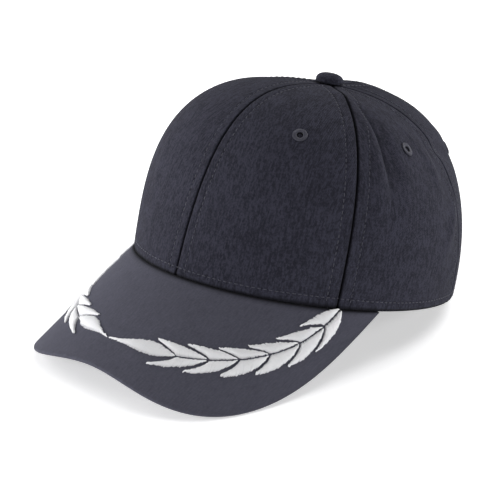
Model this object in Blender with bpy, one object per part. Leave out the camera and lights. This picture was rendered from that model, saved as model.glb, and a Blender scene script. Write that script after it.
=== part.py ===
"""A six-panel cloth cap at rest, with a curved brim and a laurel spray on each side of it.

The cap is worked out in its own frame: the origin is the middle of the oval head opening, +Z goes up
to the button, the brim points to -Y and the wearer's left is +X. An empty then leans that frame back
until the brim's side edges and the back strap stand on the ground plane. Lengths are in metres.
"""

import math
from typing import NamedTuple

import bpy
import numpy as np

# Head opening: an oval, measured from its middle
RIM_FRONT = 0.0975
RIM_BACK = 0.0997
RIM_HALF_WIDTH = 0.0852

# Crown
CROWN_HEIGHT = 0.1065
PANEL_COUNT = 6
CLOTH = 0.0016
SEAM_GAP = 0.0003
SEAM_DEPTH = 0.0007
SEAM_HALF_WIDTH = 0.0026
PANEL_COLUMNS = 7
PANEL_ROWS = 13

# Clearance between two pieces that are sewn together
SEWN_GAP = 0.0003

# Arch at the back and the strap across it
ARCH_HALF_WIDTH = 0.034
ARCH_HEIGHT = 0.042
ARCH_COLUMNS = 5
STRAP_HEIGHT = 0.022
STRAP_THICKNESS = 0.0020
STRAP_OVERLAP = 0.014
STRAP_COLUMNS = 14
STRAP_ROWS = 2
REST_FLAT_DEPTH = 0.0012

# Sweatband
BAND_HEIGHT = 0.030
BAND_THICKNESS = 0.0012
BAND_GAP = 0.0004
BAND_END_GAP = 0.0010
BAND_COLUMNS = 40
BAND_ROWS = 3

# Brim: its sheet runs straight forward and down from the front of the oval
BRIM_SLOPE = 40.3
BRIM_LENGTH = 0.0688
BRIM_END = 76.1
BRIM_CORNER = 3.15
BRIM_THICKNESS = 0.0026
BRIM_END_THINNING = 0.6
BRIM_THINNING_POWER = 6
BRIM_LIP = 0.0012
BRIM_COLUMNS = 17
BRIM_COLUMN_CROWDING = 1.7
BRIM_ROWS = (0.12, 0.30, 0.50, 0.72, 0.92, 1.0)

# Button on top, as a turned dome with a shank through the panels' ring
BUTTON_RADIUS = 0.0072
BUTTON_HEIGHT = 0.0044
BUTTON_ROUNDNESS = 2.6
SHANK_RADIUS = 0.0042
SHANK_LENGTH = 0.0022
BUTTON_SIDES = 20

# Vent holes, each with an embroidered ring round it
HOLE_RADIUS = 0.0017
HOLE_CUT_LENGTH = 3 * CLOTH
EYELET_RADIUS = 0.0029
EYELET_CORD = 0.0010
EYELET_SIDES = 14

# Laurel: each spray follows a round arc drawn on the flat brim
SPRAY_RADIUS = 0.0842
SPRAY_RUN = 0.0512
MEETING_SHIFT = -0.0035
MEETING_GAP = 0.0010
LEAF_REACH = 0.0085
LEAF_GAP = 0.0008
LEAF_EDGE_HEIGHT = 0.0006
LEAF_RIDGE_HEIGHT = 0.0011
LEAF_LIFT = 0.00035
LEAF_STATIONS = 7
LEAF_STATION_GAP = 0.3
LEAF_NARROWEST = 0.2
LEAF_CREST_START = 0.15
LEAF_CREST_END = 0.95
TIP_LEAF_ROOT = 25.5
TIP_LEAF_WIDTH = 0.0080
TIP_LEAF_LEAN = 0.0024
TIP_LEAF_STATIONS = 9
TIP_LEAF_SKEW = 1.55
TIP_LEAF_FULLNESS = 1.05

QUARTER = math.pi / 2
WEARER_SIDES = {"left": 1, "right": -1}

# How finely curves are worked out, and where shading turns sharp
MERIDIAN_POINTS = 241
FLAT_BRIM_POINTS = 2001
TURN_STEP = 1e-4
SHARP_ANGLE = 45
STEEPEST_LEAN = 45
LEAN_HALVINGS = 50


class Section(NamedTuple):
    """The crown's curve up one seam, as powers of a quarter turn's cosine and sine."""

    angle: float   # degrees round the crown from the front
    spread: float  # power on the cosine: small is full to the top
    rise: float    # power on the sine: large is upright at the rim
    belly: float   # how far the middle stands out, as a share of the oval


class Fold(NamedTuple):
    """A soft ridge or dent in the crown's cloth, as a long bump on its surface."""

    angle: float   # degrees round the crown from the front
    level: float   # share of the way up the cloth
    turn: float    # degrees that its length leans from upright
    length: float  # half its length, as a share of the crown's height
    width: float   # half its width, as a share of the crown's height
    height: float  # out from the cloth, or in where negative, as a share of the crown's height


class LeafPair(NamedTuple):
    """Two leaves of a spray, which share a root on its stem and part towards the brim's middle."""

    root: float   # degrees round the spray's arc from the brim's middle
    turn: float   # degrees from the root back to the tips
    inner: float  # reach of the tip towards the crown, as a share of the leaf reach
    outer: float  # reach of the tip towards the brim's edge, as a share of the leaf reach
    point: float  # power that shapes the root: small is round, large is pointed


class Finish(NamedTuple):
    """The look of one material."""

    name: str
    colour: tuple
    roughness: float


SECTIONS = (
    Section(angle=0, spread=0.636, rise=0.826, belly=-0.023),
    Section(angle=60, spread=0.702, rise=0.624, belly=0.023),
    Section(angle=120, spread=0.810, rise=0.872, belly=0.014),
    Section(angle=180, spread=0.572, rise=0.636, belly=0.017),
)

FOLDS = (
    Fold(angle=68, level=0.58, turn=-4, length=0.30, width=0.040, height=0.016),
    Fold(angle=76, level=0.56, turn=-6, length=0.24, width=0.060, height=-0.026),
    Fold(angle=64, level=0.80, turn=0, length=0.10, width=0.050, height=0.010),
    Fold(angle=130, level=0.53, turn=80, length=0.16, width=0.050, height=-0.022),
    Fold(angle=141, level=0.57, turn=80, length=0.14, width=0.060, height=0.010),
    Fold(angle=104, level=0.50, turn=5, length=0.14, width=0.040, height=0.009),
    Fold(angle=112, level=0.29, turn=-35, length=0.16, width=0.045, height=0.014),
    Fold(angle=186, level=0.83, turn=90, length=0.16, width=0.130, height=0.018),
    Fold(angle=290, level=0.60, turn=5, length=0.26, width=0.060, height=-0.018),
    Fold(angle=232, level=0.55, turn=-70, length=0.18, width=0.060, height=-0.018),
)

LEAF_PAIRS = (
    LeafPair(root=37.4, turn=19.5, inner=1.06, outer=0.94, point=0.74),
    LeafPair(root=48.3, turn=18.1, inner=1.00, outer=1.02, point=0.74),
    LeafPair(root=59.8, turn=17.6, inner=0.86, outer=1.10, point=0.72),
    LeafPair(root=72.3, turn=18.5, inner=0.82, outer=1.08, point=0.72),
    LeafPair(root=84.0, turn=18.5, inner=0.84, outer=1.05, point=0.70),
    LeafPair(root=93.8, turn=16.9, inner=0.92, outer=0.96, point=0.56),
)

PANELS = (
    "front_panel_left",
    "side_panel_left",
    "back_panel_left",
    "back_panel_right",
    "side_panel_right",
    "front_panel_right",
)

# Vent holes, as degrees from the front towards the wearer's left and share of the way up
VENTS = {
    "front_left": (35.0, 0.535),
    "side_left": (88.0, 0.565),
    "side_right": (-88.0, 0.565),
    "back_left": (155.0, 0.470),
    "back_right": (-155.0, 0.470),
}

TWILL = Finish("charcoal twill", (0.050, 0.051, 0.066, 1.0), 0.88)
LINING = Finish("black tape", (0.020, 0.020, 0.024, 1.0), 0.90)
THREAD = Finish("charcoal thread", (0.065, 0.066, 0.082, 1.0), 0.60)
SATIN = Finish("white satin thread", (0.86, 0.86, 0.88, 1.0), 0.45)


def clear_scene():
    """Remove every object, so that the cap is the only thing in the file."""
    for thing in list(bpy.data.objects):
        bpy.data.objects.remove(thing, do_unlink=True)


def finish_material(finish):
    """Return a new material with the finish's colour and roughness."""
    material = bpy.data.materials.new(finish.name)
    material.use_nodes = True
    shader = material.node_tree.nodes["Principled BSDF"]
    shader.inputs["Base Color"].default_value = finish.colour
    shader.inputs["Roughness"].default_value = finish.roughness
    shader.inputs["Metallic"].default_value = 0.0
    return material


def add_object(name, mesh, finish, parent):
    """Put a mesh in the scene under the cap's own frame, shaded smooth."""
    mesh.materials.append(finish_material(finish))
    mesh.shade_smooth()
    mesh.set_sharp_from_angle(angle=math.radians(SHARP_ANGLE))
    thing = bpy.data.objects.new(name, mesh)
    thing.parent = parent
    bpy.context.scene.collection.objects.link(thing)
    return thing


def closed_sheet(name, upper, lower, faces):
    """Return a closed mesh between two copies of one patch of faces.

    Args:
        upper: points of the patch whose faces point outwards.
        lower: the matching points on the other side.
        faces: the patch's faces, as indices into both lists.
    """
    count = len(upper)
    edges = {pair for face in faces for pair in zip(face, face[1:] + face[:1])}
    border = [(a, b) for a, b in edges if (b, a) not in edges]
    under = [tuple(count + index for index in reversed(face)) for face in faces]
    sides = [(b, a, count + a, count + b) for a, b in sorted(border)]
    mesh = bpy.data.meshes.new(name)
    points = np.concatenate((upper, lower)).tolist()
    mesh.from_pydata(points, [], [*faces, *under, *sides])
    mesh.validate()
    return mesh


def grid_faces(rows, columns):
    """Return the quads of a grid whose columns turn to the left of its rows."""
    return [
        (row * columns + column, row * columns + column + 1,
         (row + 1) * columns + column + 1, (row + 1) * columns + column)
        for row in range(rows - 1)
        for column in range(columns - 1)
    ]


def grid_sheet(name, upper, lower):
    """Return a closed mesh between two grids of points, rows by columns."""
    rows, columns = upper.shape[:2]
    return closed_sheet(name, upper.reshape(-1, 3), lower.reshape(-1, 3), grid_faces(rows, columns))


def rim_point(angle):
    """Return the head opening's oval at an angle from the front, as x and y."""
    length = np.where(np.cos(angle) > 0, RIM_FRONT, RIM_BACK)
    return RIM_HALF_WIDTH * np.sin(angle), -length * np.cos(angle)


def section_waves():
    """Return the cosine waves round the crown that pass through each section's values."""
    angles = np.radians([section.angle for section in SECTIONS])
    values = [(section.spread, section.rise, section.belly) for section in SECTIONS]
    return np.linalg.solve(np.cos(np.outer(angles, np.arange(len(SECTIONS)))), np.array(values))


def section_values(angle):
    """Return the spread, rise and belly at each angle round the crown."""
    waves = np.cos(np.asarray(angle)[..., None] * np.arange(len(SECTIONS))) @ section_waves()
    return waves[..., 0], waves[..., 1], waves[..., 2]


def smooth_crown(angle, climb):
    """Return points of the crown without its folds, for a climb from 0 at the rim to a quarter turn."""
    spread, rise, belly = section_values(angle)
    height = np.sin(climb) ** rise
    plan = np.cos(climb) ** spread * (1 + belly * np.sin(math.pi * height))
    x, y = rim_point(angle)
    return np.stack((x * plan, y * plan, CROWN_HEIGHT * height), axis=-1)


def unit(vectors):
    """Return vectors at length 1."""
    return vectors / np.linalg.norm(vectors, axis=-1, keepdims=True)


def outward(surface, angle, climb):
    """Return the outward normals of a surface that is given by angle and climb."""
    upward = np.where(climb < QUARTER / 2, TURN_STEP, -TURN_STEP)
    around = surface(angle + TURN_STEP, climb) - surface(angle - TURN_STEP, climb)
    along = (surface(angle, climb + upward) - surface(angle, climb)) * np.sign(upward)[..., None]
    return unit(np.cross(around, along))


def seam_distance(angle, points):
    """Return how far each point lies from its nearest seam."""
    pitch = 2 * math.pi / PANEL_COUNT
    turn = np.abs((angle + pitch / 2) % pitch - pitch / 2)
    return turn * np.hypot(points[..., 0], points[..., 1])


def fold_height(fold, points):
    """Return how far a fold lifts each point out of the smooth crown."""
    angle = np.radians(fold.angle)
    climb = climb_at(angle, fold.level * cloth_length(angle))
    centre = smooth_crown(angle, climb)
    normal = outward(smooth_crown, angle, climb)
    level = unit(np.cross((0, 0, 1), normal))
    upright = np.cross(normal, level)
    lean = math.radians(fold.turn)
    offset = points - centre
    across = offset @ (level * math.cos(lean) + upright * math.sin(lean))
    along = offset @ (upright * math.cos(lean) - level * math.sin(lean))
    spread = (across / (fold.width * CROWN_HEIGHT)) ** 2 + (along / (fold.length * CROWN_HEIGHT)) ** 2
    return fold.height * CROWN_HEIGHT * np.exp(-spread)


def crown(angle, climb):
    """Return points of the crown's outer cloth, with its seams and folds."""
    angle, climb = np.broadcast_arrays(angle, climb)
    points = smooth_crown(angle, climb)
    relief = -SEAM_DEPTH * np.exp(-(seam_distance(angle, points) / SEAM_HALF_WIDTH) ** 2)
    for fold in FOLDS:
        relief = relief + fold_height(fold, points)
    return points + relief[..., None] * outward(smooth_crown, angle, climb)


def layer(surface, angle, climb, depth):
    """Return points at a depth under a surface of the crown."""
    angle, climb = np.broadcast_arrays(angle, climb)
    return surface(angle, climb) - depth * outward(surface, angle, climb)


def meridian(angle):
    """Return climbs up one side of the crown and the cloth length that each has reached."""
    climb = QUARTER * (1 - np.linspace(1, 0, MERIDIAN_POINTS) ** 3)
    points = smooth_crown(np.full_like(climb, angle), climb)
    steps = np.linalg.norm(np.diff(points, axis=0), axis=-1)
    return climb, np.concatenate(([0.0], np.cumsum(steps)))


def climb_at(angle, length):
    """Return the climb at a length of cloth up from the rim."""
    climbs, lengths = meridian(angle)
    return np.interp(length, lengths, climbs)


def cloth_length(angle):
    """Return the length of cloth from the rim to the middle of the button."""
    return meridian(angle)[1][-1]


def top_climb(angle):
    """Return the climb where the panels end, round the button's shank."""
    spread = section_values(angle)[0]
    plan = (SHANK_RADIUS + SEWN_GAP) / math.hypot(*rim_point(angle))
    return math.acos(plan ** (1 / spread))


def arch_turn():
    """Return the angle from the back seam to each end of the arch."""
    return math.asin(ARCH_HALF_WIDTH / RIM_HALF_WIDTH)


def bottom_climb(angle):
    """Return the climb of the panels' lower edge: the rim, or the arch at the back."""
    share = abs(angle - math.pi) / arch_turn()
    height = ARCH_HEIGHT * math.sqrt(max(0.0, 1 - share ** 2))
    rise = section_values(angle)[1]
    return math.asin((height / CROWN_HEIGHT) ** (1 / rise))


def column_angles(first, last):
    """Return where a panel's columns stand: close together beside its seams and along the arch."""
    seam = SEAM_HALF_WIDTH / RIM_HALF_WIDTH
    plain = np.linspace(first + 2 * seam, last - 2 * seam, PANEL_COLUMNS)
    angles = {first, first + seam, last - seam, last, *plain.tolist()}
    turn = arch_turn()
    side = math.copysign(1.0, first + last - 2 * math.pi)
    if min(abs(first - math.pi), abs(last - math.pi)) < turn:
        angles = {angle for angle in angles if abs(angle - math.pi) > turn + seam / 2}
        steps = np.linspace(0, QUARTER, ARCH_COLUMNS + 1)
        angles |= {math.pi + side * turn * math.sin(step) for step in steps}
        angles.add(math.pi + side * seam)
    return sorted(angles)


def panel_sheet(name, first, last):
    """Return one crown panel between two seams, as a closed cloth wall."""
    angles = column_angles(first, last)
    turns = np.empty((PANEL_ROWS + 1, len(angles)))
    climbs = np.empty_like(turns)
    for column, angle in enumerate(angles):
        table, lengths = meridian(angle)
        start = np.interp(bottom_climb(angle), table, lengths)
        end = np.interp(top_climb(angle), table, lengths)
        climbs[:, column] = np.interp(np.linspace(start, end, PANEL_ROWS + 1), lengths, table)
        turns[:, column] = angle
    plan = np.linalg.norm(smooth_crown(turns, climbs)[..., :2], axis=-1)
    middle = (first + last) / 2
    shrink = 1 - SEAM_GAP / 2 / plan / ((last - first) / 2)
    turns = middle + (turns - middle) * shrink
    outer = layer(crown, turns, climbs, 0.0)
    inner = layer(crown, turns, climbs, CLOTH)
    lift = np.array((0.0, 0.0, SEWN_GAP))
    return grid_sheet(name, outer + lift, inner + lift)


def round_cutter(name, place, normal, radius, length, parent):
    """Return a hidden cylinder that cuts a hole along a normal."""
    turns = np.linspace(0, 2 * math.pi, EYELET_SIDES, endpoint=False)
    side = unit(np.cross(normal, (0, 0, 1)))
    other = np.cross(normal, side)
    ring = radius * (np.outer(np.cos(turns), side) + np.outer(np.sin(turns), other))
    ends = [place + ring - normal * length, place + ring + normal * length]
    loop = list(range(EYELET_SIDES))
    walls = [
        (a, b, b + EYELET_SIDES, a + EYELET_SIDES)
        for a, b in zip(loop, loop[1:] + loop[:1])
    ]
    faces = [loop[::-1], *walls, [index + EYELET_SIDES for index in loop]]
    mesh = bpy.data.meshes.new(name)
    mesh.from_pydata(np.concatenate(ends).tolist(), [], faces)
    cutter = bpy.data.objects.new(name, mesh)
    cutter.parent = parent
    cutter.hide_render = True
    cutter.display_type = "WIRE"
    bpy.context.scene.collection.objects.link(cutter)
    return cutter


def cut(target, cutter):
    """Cut one object out of another, kept as a modifier."""
    boolean = target.modifiers.new("cut", "BOOLEAN")
    boolean.operation = "DIFFERENCE"
    boolean.solver = "EXACT"
    boolean.object = cutter


def vent_place(angle, level):
    """Return the middle of a vent hole on the outer cloth, and the outward normal there."""
    angle = math.radians(angle) % (2 * math.pi)
    climb = climb_at(angle, level * cloth_length(angle))
    place = crown(np.array(angle), np.array(climb)) + np.array((0.0, 0.0, SEWN_GAP))
    return place, outward(crown, np.array(angle), np.array(climb))


def add_crown(parent):
    """Add the six panels, their vent holes and the ring round each hole."""
    pitch = 2 * math.pi / PANEL_COUNT
    panels = {}
    for index, name in enumerate(PANELS):
        mesh = panel_sheet(name, index * pitch, (index + 1) * pitch)
        panels[name] = add_object(name, mesh, TWILL, parent)
    for vent, (angle, level) in VENTS.items():
        place, normal = vent_place(angle, level)
        cutter = round_cutter(f"vent_{vent}", place, normal, HOLE_RADIUS, HOLE_CUT_LENGTH, parent)
        cut(panels["_panel_".join(vent.split("_"))], cutter)
        add_eyelet(f"eyelet_{vent}", place, normal, parent)


def turned_mesh(name, profile, sides):
    """Return a mesh turned about Z from a closed profile of radius and height points."""
    turns = np.linspace(0, 2 * math.pi, sides, endpoint=False)
    count = len(profile)
    points = [
        (radius * math.cos(turn), radius * math.sin(turn), height)
        for turn in turns
        for radius, height in profile
    ]
    faces = [
        (side * count + a, (side + 1) % sides * count + a,
         (side + 1) % sides * count + (a + 1) % count, side * count + (a + 1) % count)
        for side in range(sides)
        for a in range(count)
    ]
    mesh = bpy.data.meshes.new(name)
    mesh.from_pydata(points, [], faces)
    return mesh


def add_eyelet(name, place, normal, parent):
    """Add the raised ring of thread round a vent hole."""
    half = EYELET_CORD / 2
    turns = np.linspace(0, 2 * math.pi, 6, endpoint=False) - QUARTER
    profile = [
        (EYELET_RADIUS + EYELET_CORD * math.cos(turn), half + half * math.sin(turn))
        for turn in turns
    ]
    mesh = turned_mesh(name, profile, EYELET_SIDES)
    side = unit(np.cross(normal, (0, 0, 1)))
    axes = np.stack((side, np.cross(normal, side), normal))
    corners = np.array([vertex.co for vertex in mesh.vertices]) @ axes
    seat = place + normal * (2 * SEWN_GAP)
    mesh.vertices.foreach_set("co", (corners + seat).ravel())
    mesh.update()
    return add_object(name, mesh, THREAD, parent)


def add_button(parent):
    """Add the covered button, whose shank passes through the ring where the panels meet."""
    base = CROWN_HEIGHT + 2 * SEWN_GAP
    arc = np.linspace(0, QUARTER, 6)[:-1]
    dome = [
        (BUTTON_RADIUS * math.cos(turn) ** (2 / BUTTON_ROUNDNESS),
         base + BUTTON_HEIGHT * math.sin(turn) ** (2 / BUTTON_ROUNDNESS))
        for turn in arc
    ]
    foot = base - SHANK_LENGTH
    profile = [(SHANK_RADIUS, foot), (SHANK_RADIUS, base), *dome]
    sides = BUTTON_SIDES
    turns = np.linspace(0, 2 * math.pi, sides, endpoint=False)
    points = [
        (radius * math.cos(turn), radius * math.sin(turn), height)
        for radius, height in profile
        for turn in turns
    ]
    points.append((0.0, 0.0, base + BUTTON_HEIGHT))
    faces = [
        (row * sides + a, row * sides + (a + 1) % sides,
         (row + 1) * sides + (a + 1) % sides, (row + 1) * sides + a)
        for row in range(len(profile) - 1)
        for a in range(sides)
    ]
    last = (len(profile) - 1) * sides
    faces += [(last + a, last + (a + 1) % sides, len(points) - 1) for a in range(sides)]
    faces.append(tuple(reversed(range(sides))))
    mesh = bpy.data.meshes.new("button")
    mesh.from_pydata(points, [], faces)
    return add_object("button", mesh, TWILL, parent)


def band_depth():
    """Return how deep the bands inside the crown lie, clear of the seams' inner folds."""
    return CLOTH + SEAM_DEPTH + BAND_GAP


def band_sheet(name, angles, height, rows, thickness):
    """Return an upright band that lies inside the panels, as a closed wall."""
    turns = np.tile(angles, (rows + 1, 1))
    lengths = np.linspace(0, height, rows + 1)
    climbs = np.stack([climb_at(angle, lengths) for angle in angles], axis=1)
    lift = np.array((0.0, 0.0, SEWN_GAP))
    outer = layer(smooth_crown, turns, climbs, band_depth())
    inner = layer(smooth_crown, turns, climbs, band_depth() + thickness)
    return grid_sheet(name, outer + lift, inner + lift)


def strap_turn():
    """Return the angle from the back seam to each end of the strap."""
    return math.asin((ARCH_HALF_WIDTH + STRAP_OVERLAP) / RIM_HALF_WIDTH)


def add_sweatband(parent):
    """Add the band inside the crown's lower edge, which stops at the strap's ends."""
    end = math.pi - strap_turn() - BAND_END_GAP / RIM_HALF_WIDTH
    angles = np.linspace(-end, end, BAND_COLUMNS + 1)
    mesh = band_sheet("sweatband", angles, BAND_HEIGHT, BAND_ROWS, BAND_THICKNESS)
    return add_object("sweatband", mesh, LINING, parent)


def add_strap(parent):
    """Add the strap across the arch, whose ends lie inside the back panels."""
    angles = math.pi + np.linspace(-strap_turn(), strap_turn(), STRAP_COLUMNS + 1)
    mesh = band_sheet("back_strap", angles, STRAP_HEIGHT, STRAP_ROWS, STRAP_THICKNESS)
    return add_object("back_strap", mesh, TWILL, parent)


def brim_normal(angle):
    """Return the brim's upper normals, which stay the same straight down its slope."""
    slope = math.radians(BRIM_SLOPE)
    around = np.stack((
        RIM_HALF_WIDTH * np.cos(angle),
        RIM_FRONT * np.sin(angle),
        np.zeros_like(angle),
    ), axis=-1)
    return unit(np.cross((0.0, -math.cos(slope), -math.sin(slope)), around))


def brim_point(angle, run, lift=0.0):
    """Return points of the brim at a run down its slope from the crown, lifted off its upper face."""
    slope = math.radians(BRIM_SLOPE)
    x, y = rim_point(angle)
    run = np.asarray(run)
    points = np.stack(np.broadcast_arrays(x, y - run * math.cos(slope), -run * math.sin(slope)), axis=-1)
    return points + lift * brim_normal(np.broadcast_to(angle, points.shape[:-1]))


def brim_reach(angle):
    """Return how far the brim runs down its slope at each angle from the front."""
    slope = math.radians(BRIM_SLOPE)
    end_x, end_y = rim_point(math.radians(BRIM_END))
    x, y = rim_point(angle)
    depth = RIM_FRONT + end_y + BRIM_LENGTH * math.cos(slope)
    share = np.clip(np.abs(x) / end_x, 0, 1)
    edge = end_y - depth * (1 - share ** BRIM_CORNER) ** (1 / BRIM_CORNER)
    return (y - edge) / math.cos(slope) + BRIM_LIP


def brim_seat():
    """Return how far the brim's seat runs in under the panels and the sweatband."""
    return band_depth() + BAND_THICKNESS + SEWN_GAP


def add_brim(parent):
    """Add the brim, with the narrow level seat that carries the front of the crown."""
    end = math.radians(BRIM_END)
    spacing = 1 - (1 - np.linspace(0, 1, BRIM_COLUMNS + 1)) ** BRIM_COLUMN_CROWDING
    angles = end * np.concatenate((-spacing[:0:-1], spacing))
    x, y = rim_point(angles)
    inward = -unit(np.stack((x / RIM_HALF_WIDTH ** 2, y / RIM_FRONT ** 2, 0 * x), axis=-1))
    rim = brim_point(angles, 0.0)
    normals = brim_normal(angles)
    up = np.array((0.0, 0.0, 1.0))
    mitre = unit(normals + up)
    mitre = mitre / (mitre @ up)[:, None]
    thinning = BRIM_END_THINNING * (np.abs(angles) / end) ** BRIM_THINNING_POWER
    thickness = BRIM_THICKNESS * (1 - thinning)[:, None]
    upper = [rim + inward * brim_seat(), rim]
    lower = [upper[0] - up * thickness, rim - mitre * thickness]
    for share in BRIM_ROWS:
        row = brim_point(angles, share * brim_reach(angles))
        upper.append(row)
        lower.append(row - normals * thickness)
    mesh = grid_sheet("brim", np.array(upper)[:, ::-1], np.array(lower)[:, ::-1])
    return add_object("brim", mesh, TWILL, parent)


def flat_brim_table():
    """Return angles from the front and how far across the flat brim each one lies."""
    slope = math.radians(BRIM_SLOPE)
    angles = np.linspace(-QUARTER, QUARTER, FLAT_BRIM_POINTS)
    stretch = np.hypot(
        RIM_HALF_WIDTH * np.cos(angles),
        RIM_FRONT * math.sin(slope) * np.sin(angles),
    )
    steps = (stretch[1:] + stretch[:-1]) / 2 * np.diff(angles)
    across = np.concatenate(([0.0], np.cumsum(steps)))
    return angles, across - across[len(angles) // 2]


def crown_edge_on_flat_brim(angle):
    """Return how far down the flat brim the crown's edge lies at an angle from the front."""
    return RIM_FRONT * np.cos(angle) * math.cos(math.radians(BRIM_SLOPE))


def bend_onto_brim(across, down, lift):
    """Return points of the flat brim's pattern where they lie on the bent one."""
    angles, table = flat_brim_table()
    angle = np.interp(across, table, angles)
    return brim_point(angle, down - crown_edge_on_flat_brim(angle), lift)


def spray_point(side, turn, reach, lift):
    """Return points of one spray, by their turn round its arc and their reach out from it."""
    centre = crown_edge_on_flat_brim(0.0) + SPRAY_RUN - SPRAY_RADIUS
    radius = SPRAY_RADIUS + reach
    return bend_onto_brim(side * radius * np.sin(turn), centre + radius * np.cos(turn), lift)


def leaf_flare(share, point):
    """Return how wide a leaf pair has opened, for a share of the way from its root to its tips."""
    return np.sin(QUARTER * np.clip(share, 0, 1) ** point)


def leaf_mesh(name, side, patch, faces):
    """Return a raised leaf from a patch of turn, reach and height points."""
    turn, reach, height = np.array(patch).T
    lower = spray_point(side, turn, reach, LEAF_LIFT)
    upper = lower + height[:, None] * unit(
        spray_point(side, turn, reach, 1.0) - spray_point(side, turn, reach, 0.0))
    if side < 0:
        faces = [face[::-1] for face in faces]
    return closed_sheet(name, upper, lower, faces)


def pair_patch(pair, previous, behind_point):
    """Return one leaf pair's points and faces, from its root back over the pair before it.

    Args:
        pair: the leaf pair's row in the table.
        previous: turn of the root before it, where the two leaves part.
        behind_point: power that shapes the root of the leaves before it.
    """
    root = math.radians(pair.root)
    length = math.radians(pair.turn)
    notch = previous + LEAF_GAP / SPRAY_RADIUS
    parting = (root - notch) / length
    shares = sorted({parting, *np.linspace(0, 1, LEAF_STATIONS + 1).tolist()})
    nearest = LEAF_STATION_GAP / LEAF_STATIONS
    shares = [share for share in shares if share == parting or abs(share - parting) > nearest]
    ridge = LEAF_RIDGE_HEIGHT - LEAF_EDGE_HEIGHT
    crest_run = LEAF_CREST_END - LEAF_CREST_START
    patch = [(root, 0.0, LEAF_EDGE_HEIGHT)]
    faces = []
    stem = [0]
    for leaf, reach in ((-1, pair.inner * LEAF_REACH), (1, pair.outer * LEAF_REACH)):
        rows = []
        for share in shares[1:]:
            turn = root - share * length
            outer = reach * leaf_flare(share, pair.point)
            inner = 0.0
            if share > parting:
                behind = reach * leaf_flare((previous - turn) / length, behind_point)
                inner = min(behind + LEAF_GAP, (1 - LEAF_NARROWEST) * outer)
            middle = (outer + inner) / 2
            crest = LEAF_EDGE_HEIGHT + ridge * math.sin(math.pi * (LEAF_CREST_START + crest_run * share))
            row = []
            if share <= parting and leaf > 0:
                row.append(stem[shares.index(share)])
            else:
                patch.append((turn, leaf * inner, LEAF_EDGE_HEIGHT))
                row.append(len(patch) - 1)
                if share <= parting:
                    stem.append(row[0])
            patch.append((turn, leaf * middle, crest))
            patch.append((turn, leaf * outer, LEAF_EDGE_HEIGHT))
            rows.append((*row, len(patch) - 2, len(patch) - 1))
        leaf_faces = [(0, rows[0][0], rows[0][1]), (0, rows[0][1], rows[0][2])]
        for before, after in zip(rows, rows[1:]):
            leaf_faces.append((before[0], after[0], after[1], before[1]))
            leaf_faces.append((before[1], after[1], after[2], before[2]))
        faces += leaf_faces if leaf > 0 else [face[::-1] for face in leaf_faces]
    return patch, faces


def tip_leaf_patch(tip, root):
    """Return the end leaf's points and faces, from its tip near the middle of the brim."""
    shares = np.linspace(0, 1, TIP_LEAF_STATIONS + 1)
    ridge = LEAF_RIDGE_HEIGHT - LEAF_EDGE_HEIGHT
    patch = [(tip, 0.0, LEAF_EDGE_HEIGHT)]
    faces = []
    rows = []
    for share in shares[1:-1]:
        turn = tip + (root - tip) * share
        swell = math.sin(math.pi * share ** TIP_LEAF_SKEW) ** TIP_LEAF_FULLNESS
        middle = -TIP_LEAF_LEAN * math.sin(math.pi * share)
        half = TIP_LEAF_WIDTH / 2 * swell
        start = len(patch)
        patch += [
            (turn, middle - half, LEAF_EDGE_HEIGHT),
            (turn, middle, LEAF_EDGE_HEIGHT + ridge * swell),
            (turn, middle + half, LEAF_EDGE_HEIGHT),
        ]
        rows.append((start, start + 1, start + 2))
    patch.append((root - LEAF_GAP / SPRAY_RADIUS, 0.0, LEAF_EDGE_HEIGHT))
    end = len(patch) - 1
    faces += [(0, rows[0][1], rows[0][0]), (0, rows[0][2], rows[0][1])]
    for before, after in zip(rows, rows[1:]):
        faces.append((before[0], before[1], after[1], after[0]))
        faces.append((before[1], before[2], after[2], after[1]))
    faces += [(rows[-1][0], rows[-1][1], end), (rows[-1][1], rows[-1][2], end)]
    return patch, faces


def add_sprays(parent):
    """Add the two laurel sprays: an end leaf and six pairs on each side of the brim."""
    for name, side in WEARER_SIDES.items():
        previous = math.radians(TIP_LEAF_ROOT)
        tip = (side * MEETING_SHIFT + MEETING_GAP / 2) / SPRAY_RADIUS
        label = f"leaf_tip_{name}"
        add_object(label, leaf_mesh(label, side, *tip_leaf_patch(tip, previous)), SATIN, parent)
        behind_point = LEAF_PAIRS[0].point
        for number, pair in enumerate(LEAF_PAIRS, 1):
            label = f"leaf_pair_{name}_{number}"
            patch, faces = pair_patch(pair, previous, behind_point)
            add_object(label, leaf_mesh(label, side, patch, faces), SATIN, parent)
            previous = math.radians(pair.root)
            behind_point = pair.point


def leaned(points, lean):
    """Return the y and the z of points of the cap's frame once it leans back."""
    y, z = points[:, 1], points[:, 2]
    return y * math.cos(lean) + z * math.sin(lean), z * math.cos(lean) - y * math.sin(lean)


def lowest(points, lean):
    """Return the lowest height of points of the cap's frame once it leans back."""
    return leaned(points, lean)[1].min()


def resting_lean(brim_points, back_points):
    """Return the lean at which the brim and the pressed-flat strap stand at one height."""
    low, high = 0.0, math.radians(STEEPEST_LEAN)
    for _ in range(LEAN_HALVINGS):
        lean = (low + high) / 2
        gap = lowest(brim_points, lean) - (lowest(back_points, lean) + REST_FLAT_DEPTH)
        low, high = (lean, high) if gap < 0 else (low, lean)
    return (low + high) / 2


def mesh_points(thing):
    """Return an object's mesh points in the cap's frame."""
    return np.array([vertex.co for vertex in thing.data.vertices])


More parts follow.
